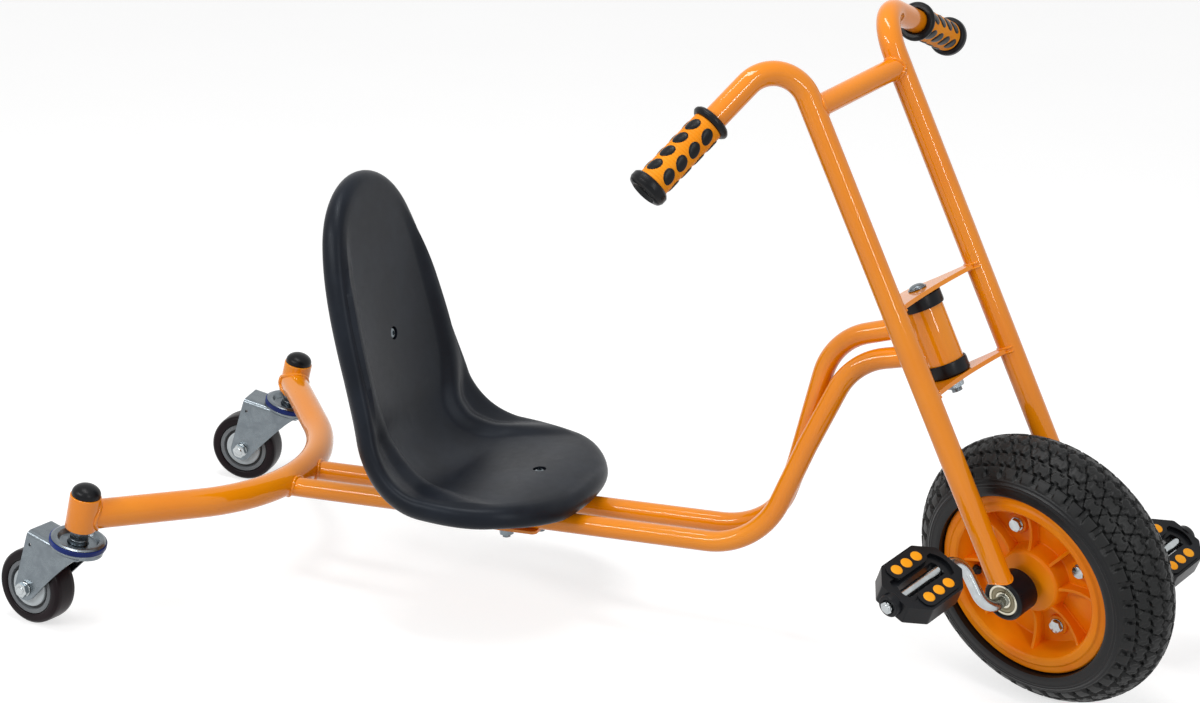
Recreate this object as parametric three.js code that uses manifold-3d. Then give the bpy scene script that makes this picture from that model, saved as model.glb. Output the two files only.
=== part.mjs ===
// A child's drift trike: one driven front wheel in a raked fork, a bucket seat low on twin tubes,
// and two castors on a swept rear bow. Millimetres, X forward, Y left, Z up, floor at z = 0.
import * as THREE from "three";
import { mergeVertices } from "three/addons/utils/BufferGeometryUtils.js";
import Module from "manifold-3d";

const wasm = await Module();
wasm.setup();

const rad = THREE.MathUtils.degToRad;
const mix = THREE.MathUtils.lerp;
const { sin, cos, tan, sqrt, abs, sign, min, max, PI } = Math;
const SIDES = { left: 1, right: -1 };

// Gaps between pieces
const seatedGap = 0.3; // between two pieces that touch
const weld = 0.001; // vertices closer than this are one

// Steering
const rake = rad(24.9); // head axis leans back from upright
const steer = rad(-25.4); // front end stands turned to the rider's right
const axleLead = 19.7; // front axle ahead of the head axis
const headFootX = 323.5; // head axis, level with the axle's own offset

// Front wheel
const tyre = {
  radius: 131, halfWidth: 42.5, height: 46, power: 1.8, wall: 5, crownWall: 8, treadDepth: 3.2, ribRise: 0.7,
  beadY: 28.2, beadInnerY: 21, lipClear: 0.9, curlY: 38.6, pitches: 12, blockShare: 0.4, ribAt: rad(66),
  edges: [10, 14, 30, 34, 52, 56].map(rad), blocks: ["A", "B", "B", "A", "A", "groove"], inside: [55, 0,
  -55].map(rad),
};
// Radii of the rim and the tyre's bead, measured inwards from the middle of the tyre's section
const rimInset = {
  lip: -3.6, bead: 2.3, seat: 3, step: 4, crestOut: 5.6, well: 8, crestIn: 11.6, mouth: 13.4,
  ringInner: 13.6, floor: 17,
};
const rim = {
  lipY: 33, stepDrop: 1.6, crestY: 35, floorY: 8.5, seatY: 21, webInnerY: 4.5, webInnerR: 35,
  hubRadius: 30.5, hubY: 26.5,
  hubCrownY: 29.5, hubCrownR: 17, barrelFoot: 32.5, bore: 5.3, ribs: 8, ribThick: 3.2, ribDipY: 15,
  ribOutY: 25,
  ribHubY: 23, bolts: 4, boltShare: 0.533, boltBossR: 9.5, boltBossY: 11.5, valveR: 5.2, valveY: 12,
  valveAngle: rad(170), valveLean: rad(30), flats: 20,
};
const rimBolt = { radius: 3, headAcross: 11, headHigh: 5.2, tail: 1.4 };
const innerTube = { clear: 0.9, wallShare: 0.11, stemR: 4.2, stemOut: 13, stemIn: 10, boreR: 2 };

// Crank, pedals and the bearings that carry them
const crank = { radius: 56.2, lean: rad(94.9), rod: 5, armY: 88.3, bend: 12, reach: 191.5 };
const pedal = {
  midY: 145.8, halfLong: 38, halfWide: 30, halfThick: 11, corner: 15, cornerLong: 17, tilt: rad(-47.4),
  rowOff: 18.6, studPitch: 13.6, studRadius: 5, studRise: 0.8, padWide: 17.6, padLong: 46, padRise: 1.4,
  windowWide: 15.5, windowLong: 47, windowBow: 5.2, boreGap: 0.25, barHalf: 2.6,
};
const pedalNut = { across: 13, high: 6, collarR: 8, collarHigh: 3 };
const housing = { radius: 20, inY: 38.3, outY: 65.3, boreRadius: 15.3, floor: 4, lip: 1.5, chamfer: 1.4 };
const bearing = { outer: 15, inner: 5.6, raceOut: 12.4, raceIn: 8, shieldDrop: 0.9, width: 9 };

// Fork and handlebar, measured along and across the head axis
const fork = {
  tubeRadius: 11.1, wall: 2, legX: 22.2, legY: 60.2, bendFrom: 476.6, bend: 34, turn: rad(111.8),
  sweep: rad(24.4), barLength: 123, crossbarRadius: 9.5, crossbarAt: 466, crossbarWall: 1.6,
};
const plate = { thick: 4, eyeRadius: 20, tabHalf: 9, tabFront: 4.5, waistShare: 0.55, holeGap: 0.4,
  flank: rad(45) };
const headTube = { radius: 16.8, wall: 2.6, length: 71.4, midAt: 234.3 };
const cup = { radius: 19, skirt: 9.6, cap: 3.4, spigot: 12, bore: 5.4, chamfer: 1.2 };
const steeringBolt = { radius: 5, headAcross: 15, headHigh: 3.2, washerR: 10, washerHigh: 1.6, nutHigh: 8,
  tail: 4 };
const grip = {
  from: 43, to: 129, flangeRadius: 18.4, innerFlange: 7, outerFlange: 9.5, sleeveRadius: 14.3,
  coreRadius: 12.5,
  bore: 11.6, rows: 4, perRow: 4, pitch: 15.8, studLong: 6.6, studAcross: 4.4, studRise: 0.9,
  studLean: rad(62),
  dish: 3.2, dishRadius: 12, bevel: 2.3,
};

// Main frame
const frameTube = {
  radius: 9.5, wall: 1.8, spread: 25, kneeBend: 76, gatherBend: 75, topBend: 60, rearX: -418, rearZ: 99.8,
  climb: rad(1.57),
};
// Each tube's rise to the head tube: its top corner and end are measured down from the head tube's middle
const rise = {
  right: { kneeX: 74.3, gatherX: 115, gatherY: 13.8, gatherZ: 216.8, topX: 151.2, topY: 1.7, topDrop: 34.9,
    endDrop: 17.3 },
  left: { kneeX: 72.8, gatherX: 100.5, gatherY: 2.2, gatherZ: 186.6, topX: 128, topY: 12, topDrop: 20.8,
    endDrop: -9.6 },
};
const bow = { radius: 14.3, wall: 2, noseX: -419, noseZ: 104, bend: 192, sweep: rad(39.5), tilt: rad(7.1) };

// Castors
const castor = {
  discX: -542.2, discY: 213.8, tilt: rad(13.5), trail: 38.9, drop: 65.5,
  twist: { left: rad(5.4), right: rad(-9.5) },
};
const socket = { radius: 15, bore: 8.6, from: 15, to: 49.9 };
const plug = { domeRadius: 13.9, domeHigh: 11, rimHigh: 1.6, spigot: 8.2, spigotLong: 7, arc: [0, 30, 60,
  90].map(rad) };
const stem = { radius: 8.2, hexAcross: 17, hexFrom: 4.2, coneRadius: 9.4, coneFoot: 7, coneTo: -6.4,
  bore: 3 };
const yoke = {
  sheet: 2.6, halfInner: 15.8, rearX: -47, frontX: 17, topZ: -5, dishRadius: 26.6, dishTop: 3.8, dishIn: 17.5,
  dishWell: -0.9, neck: 10, footRadius: 12, footArc: rad(330), noseX: 6, noseZ: -18, kneeX: -10, kneeZ: -40,
  boltGap: 0.2,
};
const seal = { inner: 26.9, outer: 28, half: 2 };
const castorWheel = {
  radius: 37.5, half: 13.6, edge: 3, treadIn: 27, coreHalf: 12.4, grooveOut: 22.8, grooveIn: 21,
  grooveDeep: 3,
  discR: 19.6, discHalf: 13.4, hubRadius: 8, hubHalf: 15.4, bore: 4.4,
};
const castorBolt = { radius: 4, headAcross: 13, headHigh: 6, tail: 2.8 };

// Seat: outline lengths run along the seat's spine, from nose to top
const seat = {
  noseX: -111, noseZ: 142.2, panRise: rad(-6.3), panLong: 116.6, bend: 74.2, backLean: rad(80.1),
  length: 454.3,
  thick: 22.6, rimRadius: 11, wall: 3, noseRaise: -2.8, backRaise: 28, topRaise: 2.7, raiseAt: 256,
  fallFrom: 183.4,
  tipDrop: 11.1, tipLong: 50, middle: 205, panHalf: 121.4, panAt: 108.3, panFull: 20.5, noseRound: 55.9,
  waistHalf: 95.8, waistAt: 284.5, waistIn: 193.2, panOut: 157.9, backOut: 322.3, backHalf: 94.4,
  shoulderHalf: 71.3,
  shoulderAt: 408.6, shoulderIn: 371.5, shoulderFull: 88.5, crownIn: 437.1, crownHalf: 58.5, crownRound: 30.9,
  grooveShare: 0.88, grooveHalfShare: 0.02, grooveDeep: 1.8, innerShares: [0.13, 0.27, 0.42, 0.64], footHalf: 9,
  holeRadius: 4.5, bossRadius: 12, panHoleX: -155, backHoleAt: 304, ventRadius: 3.2, ventAt: 93, ventY: 48,
  edgeArc: [75, 40, 0, -40, -75].map(rad), hollowArc: [50, -50].map(rad), outlineSteps: 18, hollowSteps: 10,
};
const seatMount = { thick: 3, frontX: -124, rearX: -226, half: 40, clampHalf: 36, clampHalfLong: 35,
  boltX: -180.5 };
const stay = { to: 331, steps: 14, gap: 0.9, footHalf: 33, topHalf: 14, footZ: 126, neckZ: 182 };
const seatBolt = { radius: 4, headRadius: 8.2, headHigh: 2.6, nutAcross: 13, nutHigh: 6.5, tail: 3,
  sink: 1.2 };

const ROUND = 14; // flats round a turned piece
const WHEEL = 18; // flats round a small wheel
const PIPE = 8; // flats round a tube
const SMALL = 10; // flats round a bolt or a hole
const FACETS = 8; // flats round a grip or a small hole
const HEAD = 12; // flats round the head tube, its cups and the grip cores

// Materials
const finish = (color, roughness, metalness) => new THREE.MeshStandardMaterial({ color, roughness,
  metalness });
const orangePaint = finish(0xf28c0a, 0.28, 0.1);
const orangePlastic = finish(0xf5930f, 0.38, 0);
const blackPlastic = finish(0x15161a, 0.4, 0);
const seatPlastic = finish(0x1b1d22, 0.45, 0);
const rubberBlack = finish(0x1c1c1f, 0.8, 0);
const blackPaint = finish(0x17181b, 0.35, 0.3);
const zinc = finish(0xc4ccd2, 0.3, 0.9);
const steel = finish(0xb4b8bc, 0.35, 0.9);
const blueSeal = finish(0x16306e, 0.5, 0);
const maroonTread = finish(0x2a1520, 0.45, 0);
const greyCore = finish(0x6f7276, 0.6, 0);

// Geometry to a closed solid, and back
function solidOf(geometry) {
  const bare = geometry.index ? geometry.toNonIndexed() : geometry.clone();
  bare.deleteAttribute("normal");
  bare.deleteAttribute("uv");
  const merged = mergeVertices(bare, weld);
  const made = new wasm.Manifold(new wasm.Mesh({
    numProp: 3,
    vertProperties: merged.attributes.position.array,
    triVerts: new Uint32Array(merged.index.array),
  }));
  return made;
}

const part = new THREE.Group();
part.name = "drift_trike";

function addNode(name, body, material, frame) {
  const data = body.getMesh();
  const geometry = new THREE.BufferGeometry();
  const count = data.numProp;
  const points = new Float32Array((data.vertProperties.length / count) * 3);
  for (let i = 0; i * count < data.vertProperties.length; i++) {
    points.set(data.vertProperties.subarray(i * count, i * count + 3), i * 3);
  }
  geometry.setAttribute("position", new THREE.BufferAttribute(points, 3));
  geometry.setIndex(new THREE.BufferAttribute(data.triVerts, 1));
  geometry.computeVertexNormals();
  const mesh = new THREE.Mesh(geometry, material);
  mesh.name = name;
  if (frame) mesh.applyMatrix4(frame);
  part.add(mesh);
  return mesh;
}

// Frames of reference
const move = (x, y, z) => new THREE.Matrix4().makeTranslation(x, y, z);
const turnX = (angle) => new THREE.Matrix4().makeRotationX(angle);
const turnY = (angle) => new THREE.Matrix4().makeRotationY(angle);
const turnZ = (angle) => new THREE.Matrix4().makeRotationZ(angle);
const chain = (...steps) => steps.reduce((all, step) => all.multiply(step), new THREE.Matrix4());
const placed = (geometry, frame) => geometry.clone().applyMatrix4(frame);

// The tyre leans with the steering, and the head axis is set so that it still stands on the floor
const lean = Math.asin(sin(-steer) * sin(rake));
const tyreCore = tyre.radius - tyre.height;
const rimAt = Object.fromEntries(Object.entries(rimInset).map(([name, inset]) => [name, tyreCore - inset]));
const wheelCentreZ = tyreCore * cos(lean) + tyre.height;
const headFootZ = wheelCentreZ - axleLead * cos(steer) * sin(rake);
const headMidZ = headFootZ + headTube.midAt * cos(rake);
const headFrame = chain(move(headFootX, 0, headFootZ), turnY(-rake));
const forkFrame = chain(headFrame, turnZ(steer));
const wheelFrame = chain(forkFrame, move(axleLead, 0, 0));

// A castor's disc stands above the floor by its drop and trail, both tipped with the axis
const discZ = castorWheel.radius + castor.drop * cos(castor.tilt) - castor.trail * sin(castor.tilt);
const socketFrame = (side) => chain(move(castor.discX, SIDES[side] * castor.discY, discZ),
  turnY(castor.tilt));
const swivelFrame = (side) => chain(socketFrame(side), turnZ(castor.twist[side]));
const castorWheelFrame = (side) => chain(swivelFrame(side), move(-castor.trail, 0, -castor.drop));

// Forms
function turned(points, flats = ROUND) {
  // A profile of [radius, height] pairs, closed on itself or on the axis, turned about Z
  const loop = points.map(([r, h]) => new THREE.Vector2(r, h));
  if (!(points[0][0] === 0 && points.at(-1)[0] === 0)) loop.push(loop[0].clone());
  let area = 0;
  loop.forEach((p, i) => {
    const q = loop[(i + 1) % loop.length];
    area += p.x * q.y - q.x * p.y;
  });
  if (area < 0) loop.reverse();
  return new THREE.LatheGeometry(loop, flats).applyMatrix4(turnX(PI / 2));
}

function cylinder(radius, from, to, flats = ROUND) {
  return turned([[0, from], [radius, from], [radius, to], [0, to]], flats);
}

function hexPrism(across, from, to) {
  return cylinder(across / 2 / cos(PI / 6), from, to, 6);
}

function extruded(shape, from, to, curveSegments = 8) {
  const geometry = new THREE.ExtrudeGeometry(shape, { depth: to - from, bevelEnabled: false, curveSegments });
  return geometry.applyMatrix4(move(0, 0, from));
}

// Straight runs between corners, each corner rounded to its own radius
class Route extends THREE.Curve {
  constructor(corners, radii, steps) {
    super();
    this.stations = [];
    corners.forEach((corner, i) => {
      const before = corners[i - 1];
      const after = corners[i + 1];
      if (!before || !after) {
        const way = (after ? after.clone().sub(corner) : corner.clone().sub(before)).normalize();
        this.stations.push({ at: corner.clone(), way });
        return;
      }
      const arriving = corner.clone().sub(before).normalize();
      const leaving = after.clone().sub(corner).normalize();
      const angle = arriving.angleTo(leaving);
      const reach = radii[i - 1] * tan(angle / 2);
      const start = corner.clone().addScaledVector(arriving, -reach);
      const inward = leaving.clone().addScaledVector(arriving, -cos(angle)).normalize();
      const count = max(1, Math.round(steps * angle / PI));
      for (let k = 0; k <= count; k++) {
        const turn = (angle * k) / count;
        const at = start.clone().addScaledVector(arriving, radii[i - 1] * sin(turn))
          .addScaledVector(inward, radii[i - 1] * (1 - cos(turn)));
        const way = arriving.clone().multiplyScalar(cos(turn)).addScaledVector(inward, sin(turn));
        this.stations.push({ at, way });
      }
    });
    this.last = this.stations.length - 1;
  }
  getPointAt(u) {
    return this.stations[Math.round(u * this.last)].at.clone();
  }
  getTangentAt(u) {
    return this.stations[Math.round(u * this.last)].way.clone();
  }
}

function bar(route, radius, bore = 0, flats = PIPE) {
  const section = new THREE.Shape().absarc(0, 0, radius, 0, 2 * PI);
  if (bore) section.holes.push(new THREE.Path().absarc(0, 0, bore, 0, 2 * PI, true));
  return new THREE.ExtrudeGeometry(section, {
    steps: route.last, extrudePath: route, bevelEnabled: false, curveSegments: flats / 2,
  });
}

// A closed surface over a grid of points that wraps both ways
function wrapped(rows, columns, pointAt) {
  const positions = [];
  const index = [];
  for (let i = 0; i < rows; i++) {
    for (let j = 0; j < columns; j++) positions.push(...pointAt(i, j));
  }
  for (let i = 0; i < rows; i++) {
    for (let j = 0; j < columns; j++) {
      const a = i * columns + j;
      const b = i * columns + ((j + 1) % columns);
      const c = ((i + 1) % rows) * columns + j;
      const d = ((i + 1) % rows) * columns + ((j + 1) % columns);
      index.push(a, b, c, c, b, d);
    }
  }
  const geometry = new THREE.BufferGeometry();
  geometry.setAttribute("position", new THREE.Float32BufferAttribute(positions, 3));
  geometry.setIndex(index);
  return geometry;
}

const all = (first, ...rest) => rest.reduce((sum, next) => sum.add(next), first);
const ways = (count, phase = 0) => Array.from({ length: count }, (_, k) => phase + (2 * PI * k) / count);

// Main frame: rear bow with its castor sockets
function bowRoute() {
  const cornerY = bow.bend * tan(bow.sweep / 2) + seatedGap;
  const onPlane = (x, y) => new THREE.Vector3(x, y, bow.noseZ + tan(bow.tilt) * (bow.noseX - x));
  const end = (s) => onPlane(bow.noseX - tan(bow.sweep) * (castor.discY - cornerY), s * castor.discY);
  return new Route([end(-1), onPlane(bow.noseX, -cornerY), onPlane(bow.noseX, cornerY), end(1)], [bow.bend,
    bow.bend], 18);
}

function rearBow() {
  // The tube runs up to each sleeve, coped round it
  const far = 3 * bow.radius;
  let body = solidOf(bar(bowRoute(), bow.radius, bow.radius - bow.wall));
  for (const frame of Object.keys(SIDES).map(socketFrame)) {
    body = body.subtract(solidOf(placed(cylinder(socket.radius, socket.from - far, socket.to + far), frame)));
    body = body.add(solidOf(placed(cylinder(socket.radius, socket.from, socket.to), frame)));
    body = body.subtract(solidOf(placed(cylinder(socket.bore, socket.from - far, socket.to + far), frame)));
  }
  return body;
}

function geometryOf(body) {
  const data = body.getMesh();
  const geometry = new THREE.BufferGeometry();
  geometry.setAttribute("position", new THREE.BufferAttribute(new Float32Array(data.vertProperties),
    data.numProp));
  geometry.setIndex(new THREE.BufferAttribute(data.triVerts, 1));
  return geometry;
}

addNode("rear_bow", rearBow(), orangePaint);

// Main frame: twin tubes, coped to the bow behind and the head tube in front
const tubeZ = (x) => frameTube.rearZ + tan(frameTube.climb) * (x - frameTube.rearX);
const onTubes = (x, y) => chain(move(x, y, tubeZ(x)), turnY(-frameTube.climb));
function frameTubeRoute(side) {
  const s = SIDES[side];
  const r = rise[side];
  const topZ = headMidZ - r.topDrop;
  const endZ = headMidZ - r.endDrop;
  const endX = headFootX - tan(rake) * (endZ - headFootZ);
  return new Route([
    new THREE.Vector3(frameTube.rearX, s * frameTube.spread, tubeZ(frameTube.rearX)),
    new THREE.Vector3(r.kneeX, s * frameTube.spread, tubeZ(r.kneeX)),
    new THREE.Vector3(r.gatherX, s * r.gatherY, r.gatherZ),
    new THREE.Vector3(r.topX, s * r.topY, topZ),
    new THREE.Vector3(endX, 0, endZ),
  ], [frameTube.kneeBend, frameTube.gatherBend, frameTube.topBend], 11);
}

for (const side of Object.keys(SIDES)) {
  const grownBow = solidOf(bar(bowRoute(), bow.radius + seatedGap));
  const grownHead = solidOf(placed(
    cylinder(headTube.radius + seatedGap, headTube.midAt - headTube.length,
      headTube.midAt + headTube.length, HEAD), headFrame));
  const body = solidOf(bar(frameTubeRoute(side), frameTube.radius, frameTube.radius - frameTube.wall))
    .subtract(grownBow).subtract(grownHead).subtract(solidOf(placed(
      cylinder(seat.holeRadius, -2 * frameTube.radius, 2 * frameTube.radius, FACETS),
      onTubes(seatMount.boltX, SIDES[side] * frameTube.spread))));
  addNode(side + "_frame_tube", body, orangePaint);
}

// Head tube and its two bearing cups
const headLow = headTube.midAt - headTube.length / 2;
const headHigh = headTube.midAt + headTube.length / 2;
addNode("head_tube", solidOf(turned([
  [headTube.radius - headTube.wall, headLow], [headTube.radius, headLow],
  [headTube.radius, headHigh], [headTube.radius - headTube.wall, headHigh],
], HEAD)), orangePaint, headFrame);

function bearingCup() {
  // Stands on z = 0, the tube's end face, with its skirt hanging below
  const outside = headTube.radius + seatedGap;
  const inside = headTube.radius - headTube.wall - seatedGap;
  return turned([
    [cup.bore, -cup.spigot], [inside, -cup.spigot], [inside, seatedGap], [outside, seatedGap],
    [outside, -cup.skirt], [cup.radius, -cup.skirt], [cup.radius, cup.cap - cup.chamfer],
    [cup.radius - cup.chamfer, cup.cap], [cup.bore, cup.cap],
  ], HEAD);
}
const upperCupFrame = chain(headFrame, move(0, 0, headHigh));
const lowerCupFrame = chain(headFrame, move(0, 0, headLow), turnX(PI));
addNode("upper_bearing_cup", solidOf(bearingCup()), blackPlastic, upperCupFrame);
addNode("lower_bearing_cup", solidOf(bearingCup()), blackPlastic, lowerCupFrame);

// Fork: each leg bends over into its half of the handlebar
function legRoute(s) {
  const foot = sqrt(housing.radius ** 2 - (fork.legX - axleLead) ** 2);
  const out = new THREE.Vector3(-sin(fork.sweep), s * cos(fork.sweep), 0);
  const start = new THREE.Vector3(fork.legX, s * fork.legY, 0);
  const corner = start.clone().setZ(fork.bendFrom + fork.bend * tan(fork.turn / 2));
  const way = out.clone().multiplyScalar(sin(fork.turn)).setZ(cos(fork.turn));
  const end = corner.clone().addScaledVector(way, fork.bend * tan(fork.turn / 2) + fork.barLength);
  return new Route([start.setZ(foot / 2), corner, end], [fork.bend], 11);
}

for (const side of Object.keys(SIDES)) {
  const s = SIDES[side];
  const seatOn = placed(cylinder(housing.radius + seatedGap, -housing.outY - fork.tubeRadius * 2,
    housing.outY + fork.tubeRadius * 2),
    chain(move(axleLead, 0, 0), turnX(PI / 2)));
  const body = solidOf(bar(legRoute(s), fork.tubeRadius,
    fork.tubeRadius - fork.wall)).subtract(solidOf(seatOn));
  addNode(side + "_fork_tube", body.decompose().sort((a, b) => b.volume() - a.volume())[0], orangePaint,
    forkFrame);
}

const legPair = (grow) => [1, -1].map((s) => solidOf(placed(
  cylinder(fork.tubeRadius + grow, 0, fork.bendFrom), move(fork.legX, s * fork.legY, 0))));

const crossbarRoute = new Route([
  new THREE.Vector3(fork.legX, -fork.legY, fork.crossbarAt), new THREE.Vector3(fork.legX, fork.legY,
    fork.crossbarAt),
], [], 1);
addNode("crossbar", legPair(seatedGap).reduce((body, leg) => body.subtract(leg),
  solidOf(bar(crossbarRoute, fork.crossbarRadius, fork.crossbarRadius - fork.crossbarWall))), orangePaint,
    forkFrame);

// Fork plates: an eye round the head axis drawn out to a tab on each leg
function forkPlate() {
  const s = new THREE.Shape();
  const tabX = fork.legX;
  const waistY = fork.legY * plate.waistShare;
  const eye = plate.eyeRadius;
  s.moveTo(tabX - plate.tabHalf, fork.legY);
  s.quadraticCurveTo(tabX * plate.waistShare - plate.tabHalf, waistY, -eye * cos(plate.flank),
    eye * sin(plate.flank));
  s.absarc(0, 0, eye, PI - plate.flank, PI + plate.flank);
  s.quadraticCurveTo(tabX * plate.waistShare - plate.tabHalf, -waistY, tabX - plate.tabHalf, -fork.legY);
  s.lineTo(tabX + plate.tabFront, -fork.legY);
  s.quadraticCurveTo(tabX * plate.waistShare + plate.tabHalf, -waistY, eye, 0);
  s.quadraticCurveTo(tabX * plate.waistShare + plate.tabHalf, waistY, tabX + plate.tabFront, fork.legY);
  s.closePath();
  s.holes.push(new THREE.Path().absarc(0, 0, steeringBolt.radius + plate.holeGap, 0, 2 * PI, true));
  return extruded(s, 0, plate.thick, 6);
}
const plateAt = {
  upper_fork_plate: headHigh + cup.cap + seatedGap,
  lower_fork_plate: headLow - cup.cap - seatedGap - plate.thick,
};
for (const [name, height] of Object.entries(plateAt)) {
  const body = legPair(seatedGap).reduce((b, leg) => b.subtract(leg), solidOf(placed(forkPlate(), move(0, 0,
    height))));
  addNode(name, body.decompose().sort((a, b) => b.volume() - a.volume())[0], orangePaint, forkFrame);
}

// Steering bolt: domed head on top, washer and nut under the lower plate
const boltTop = plateAt.upper_fork_plate + plate.thick + seatedGap;
const boltFoot = plateAt.lower_fork_plate - seatedGap;
addNode("steering_bolt", all(
  solidOf(cylinder(steeringBolt.radius, boltFoot - steeringBolt.nutHigh - steeringBolt.tail,
    boltTop + steeringBolt.washerHigh, SMALL)),
  solidOf(cylinder(steeringBolt.washerR, boltTop, boltTop + steeringBolt.washerHigh, SMALL)),
  solidOf(hexPrism(steeringBolt.headAcross, boltTop,
    boltTop + steeringBolt.washerHigh + steeringBolt.headHigh)),
  solidOf(cylinder(steeringBolt.washerR, boltFoot - steeringBolt.washerHigh, boltFoot, SMALL)),
  solidOf(hexPrism(steeringBolt.headAcross, boltFoot - steeringBolt.nutHigh, boltFoot)),
), zinc, forkFrame);

// Grips: a hard core with an end flange each side, and over it a soft sleeve with raised oval studs
function barEnd(s) {
  const route = legRoute(s);
  const { at, way } = route.stations[route.last];
  const start = at.clone().addScaledVector(way, -fork.barLength);
  const turn = new THREE.Quaternion().setFromUnitVectors(new THREE.Vector3(0, 0, 1), way);
  return chain(forkFrame, new THREE.Matrix4().compose(start, turn, new THREE.Vector3(1, 1, 1)));
}

function gripCore() {
  const g = grip;
  const lip = g.flangeRadius;
  const end = g.to + g.bevel;
  return turned([
    [g.bore, g.from], [lip - g.bevel, g.from], [lip, g.from + g.innerFlange / 2],
    [lip - g.bevel, g.from + g.innerFlange], [g.coreRadius, g.from + g.innerFlange],
    [g.coreRadius, g.to - g.outerFlange], [lip - g.bevel, g.to - g.outerFlange],
    [lip, g.to - g.outerFlange + g.bevel], [lip - g.bevel, g.to],
    [g.dishRadius, end], [g.dishRadius - g.dish, end - g.dish],
    [0, end - g.dish], [0, fork.barLength + seatedGap], [g.bore, fork.barLength + seatedGap],
  ], HEAD);
}

function gripSleeve() {
  const g = grip;
  const from = g.from + g.innerFlange + seatedGap;
  const to = g.to - g.outerFlange - seatedGap;
  const inner = (g.coreRadius + seatedGap / 2) / cos(PI / FACETS);
  const tube = solidOf(placed(turned([
    [inner, from], [g.sleeveRadius, from], [g.sleeveRadius, to], [inner, to]], FACETS), turnZ(PI / FACETS)));
  const oval = new THREE.Shape().absellipse(0, 0, g.studLong, g.studAcross, 0, 2 * PI);
  const stud = extruded(oval, mix(inner, g.sleeveRadius, 1 / 2) * cos(PI / FACETS),
    g.sleeveRadius + g.studRise, 3);
  return ways(g.rows, PI / g.rows).reduce((whole, angle, row) => {
    const lean = row % 2 ? g.studLean : PI - g.studLean;
    for (let k = 0; k < g.perRow; k++) {
      const along = (from + to + (2 * k - g.perRow + 1) * g.pitch) / 2;
      whole = whole.add(solidOf(placed(stud, chain(turnZ(angle), move(0, 0, along), turnY(PI / 2),
        turnZ(lean)))));
    }
    return whole;
  }, tube);
}

for (const side of Object.keys(SIDES)) {
  addNode(side + "_grip_core", solidOf(gripCore()), blackPlastic, barEnd(SIDES[side]));
  addNode(side + "_grip_sleeve", gripSleeve(), orangePlastic, barEnd(SIDES[side]));
}

// Bearing housings at the feet of the legs, each with a ball bearing for the crank
const outward = (side, ...more) => chain(wheelFrame, turnX(SIDES[side] * -PI / 2), ...more);
for (const side of Object.keys(SIDES)) {
  const h = housing;
  addNode(side + "_bearing_housing", solidOf(turned([
    [crank.rod + h.lip, h.inY], [h.radius - h.chamfer, h.inY], [h.radius, h.inY + h.chamfer],
    [h.radius, h.outY - h.chamfer], [h.radius - h.chamfer, h.outY], [h.boreRadius, h.outY],
    [h.boreRadius, h.inY + h.floor], [crank.rod + h.lip, h.inY + h.floor],
  ])), blackPlastic, outward(side));
  const out = h.outY - h.lip;
  const b = bearing;
  addNode(side + "_wheel_bearing", solidOf(turned([
    [b.inner, out - b.width], [b.outer, out - b.width], [b.outer, out], [b.raceOut, out],
    [b.raceOut, out - b.shieldDrop], [b.raceIn, out - b.shieldDrop], [b.raceIn, out], [b.inner, out],
  ])), steel, outward(side));
}

// Tyre: a grid round the wheel whose rows and columns fall on the edges of the tread blocks
function tyreSection(angle, inset = 0) {
  const side = sin(angle);
  const up = cos(angle);
  const power = 2 / tyre.power;
  return [
    tyreCore + (tyre.height - inset) * sign(up) * abs(up) ** power,
    (tyre.halfWidth - inset) * sign(side) * abs(side) ** power,
  ];
}

function tyreBody() {
  const t = tyre;
  const half = (s) => t.edges.map((at, k) => (
    { at: s * at, rows: t.blocks[k], inset: t.blocks[k] === "groove" ? t.treadDepth : 0 }));
  const sidewall = (s) => [{ at: s * t.ribAt, rows: "all", inset: t.ribRise }];
  const lip = rimAt.lip + t.lipClear;
  const bead = (s) => [[lip, s * t.curlY], [lip, s * t.beadY], [rimAt.bead, s * t.beadY], [rimAt.bead,
    s * t.beadInnerY]];
  const stations = [
    ...half(1), ...sidewall(1), ...bead(1).map((fixed) => ({ fixed })), ...t.inside.map((at) => ({ at,
      rows: "inside" })),
    ...bead(-1).reverse().map((fixed) => ({ fixed })), ...sidewall(-1), ...half(-1).reverse(),
  ];
  // Round the wheel, blocks A and B take turns, each with a gap on both sides
  const free = (1 / 2 - t.blockShare) / 2;
  const stops = Array.from({ length: t.pitches }, (_, k) => (
    [[free, "A"], [1 / 2 - free, "A"], [1 / 2 + free, "B"], [1 - free, "B"]].map(([share, high]) => (
      { turn: (2 * PI * (k + share)) / t.pitches, high })))).flat();
  return solidOf(wrapped(stops.length, stations.length, (i, j) => {
    const { turn, high } = stops[i];
    const { fixed, at, rows, inset } = stations[j];
    const level = rows === "all" || rows === "groove" ? inset : rows === high ? 0 : t.treadDepth;
    const [r, y] = fixed ?? tyreSection(at, rows === "inside" ? mix(t.wall, t.crownWall, cos(at)) : level);
    return [r * cos(turn), y, r * sin(turn)];
  }));
}

addNode("front_tyre", tyreBody(), rubberBlack, wheelFrame);

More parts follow.
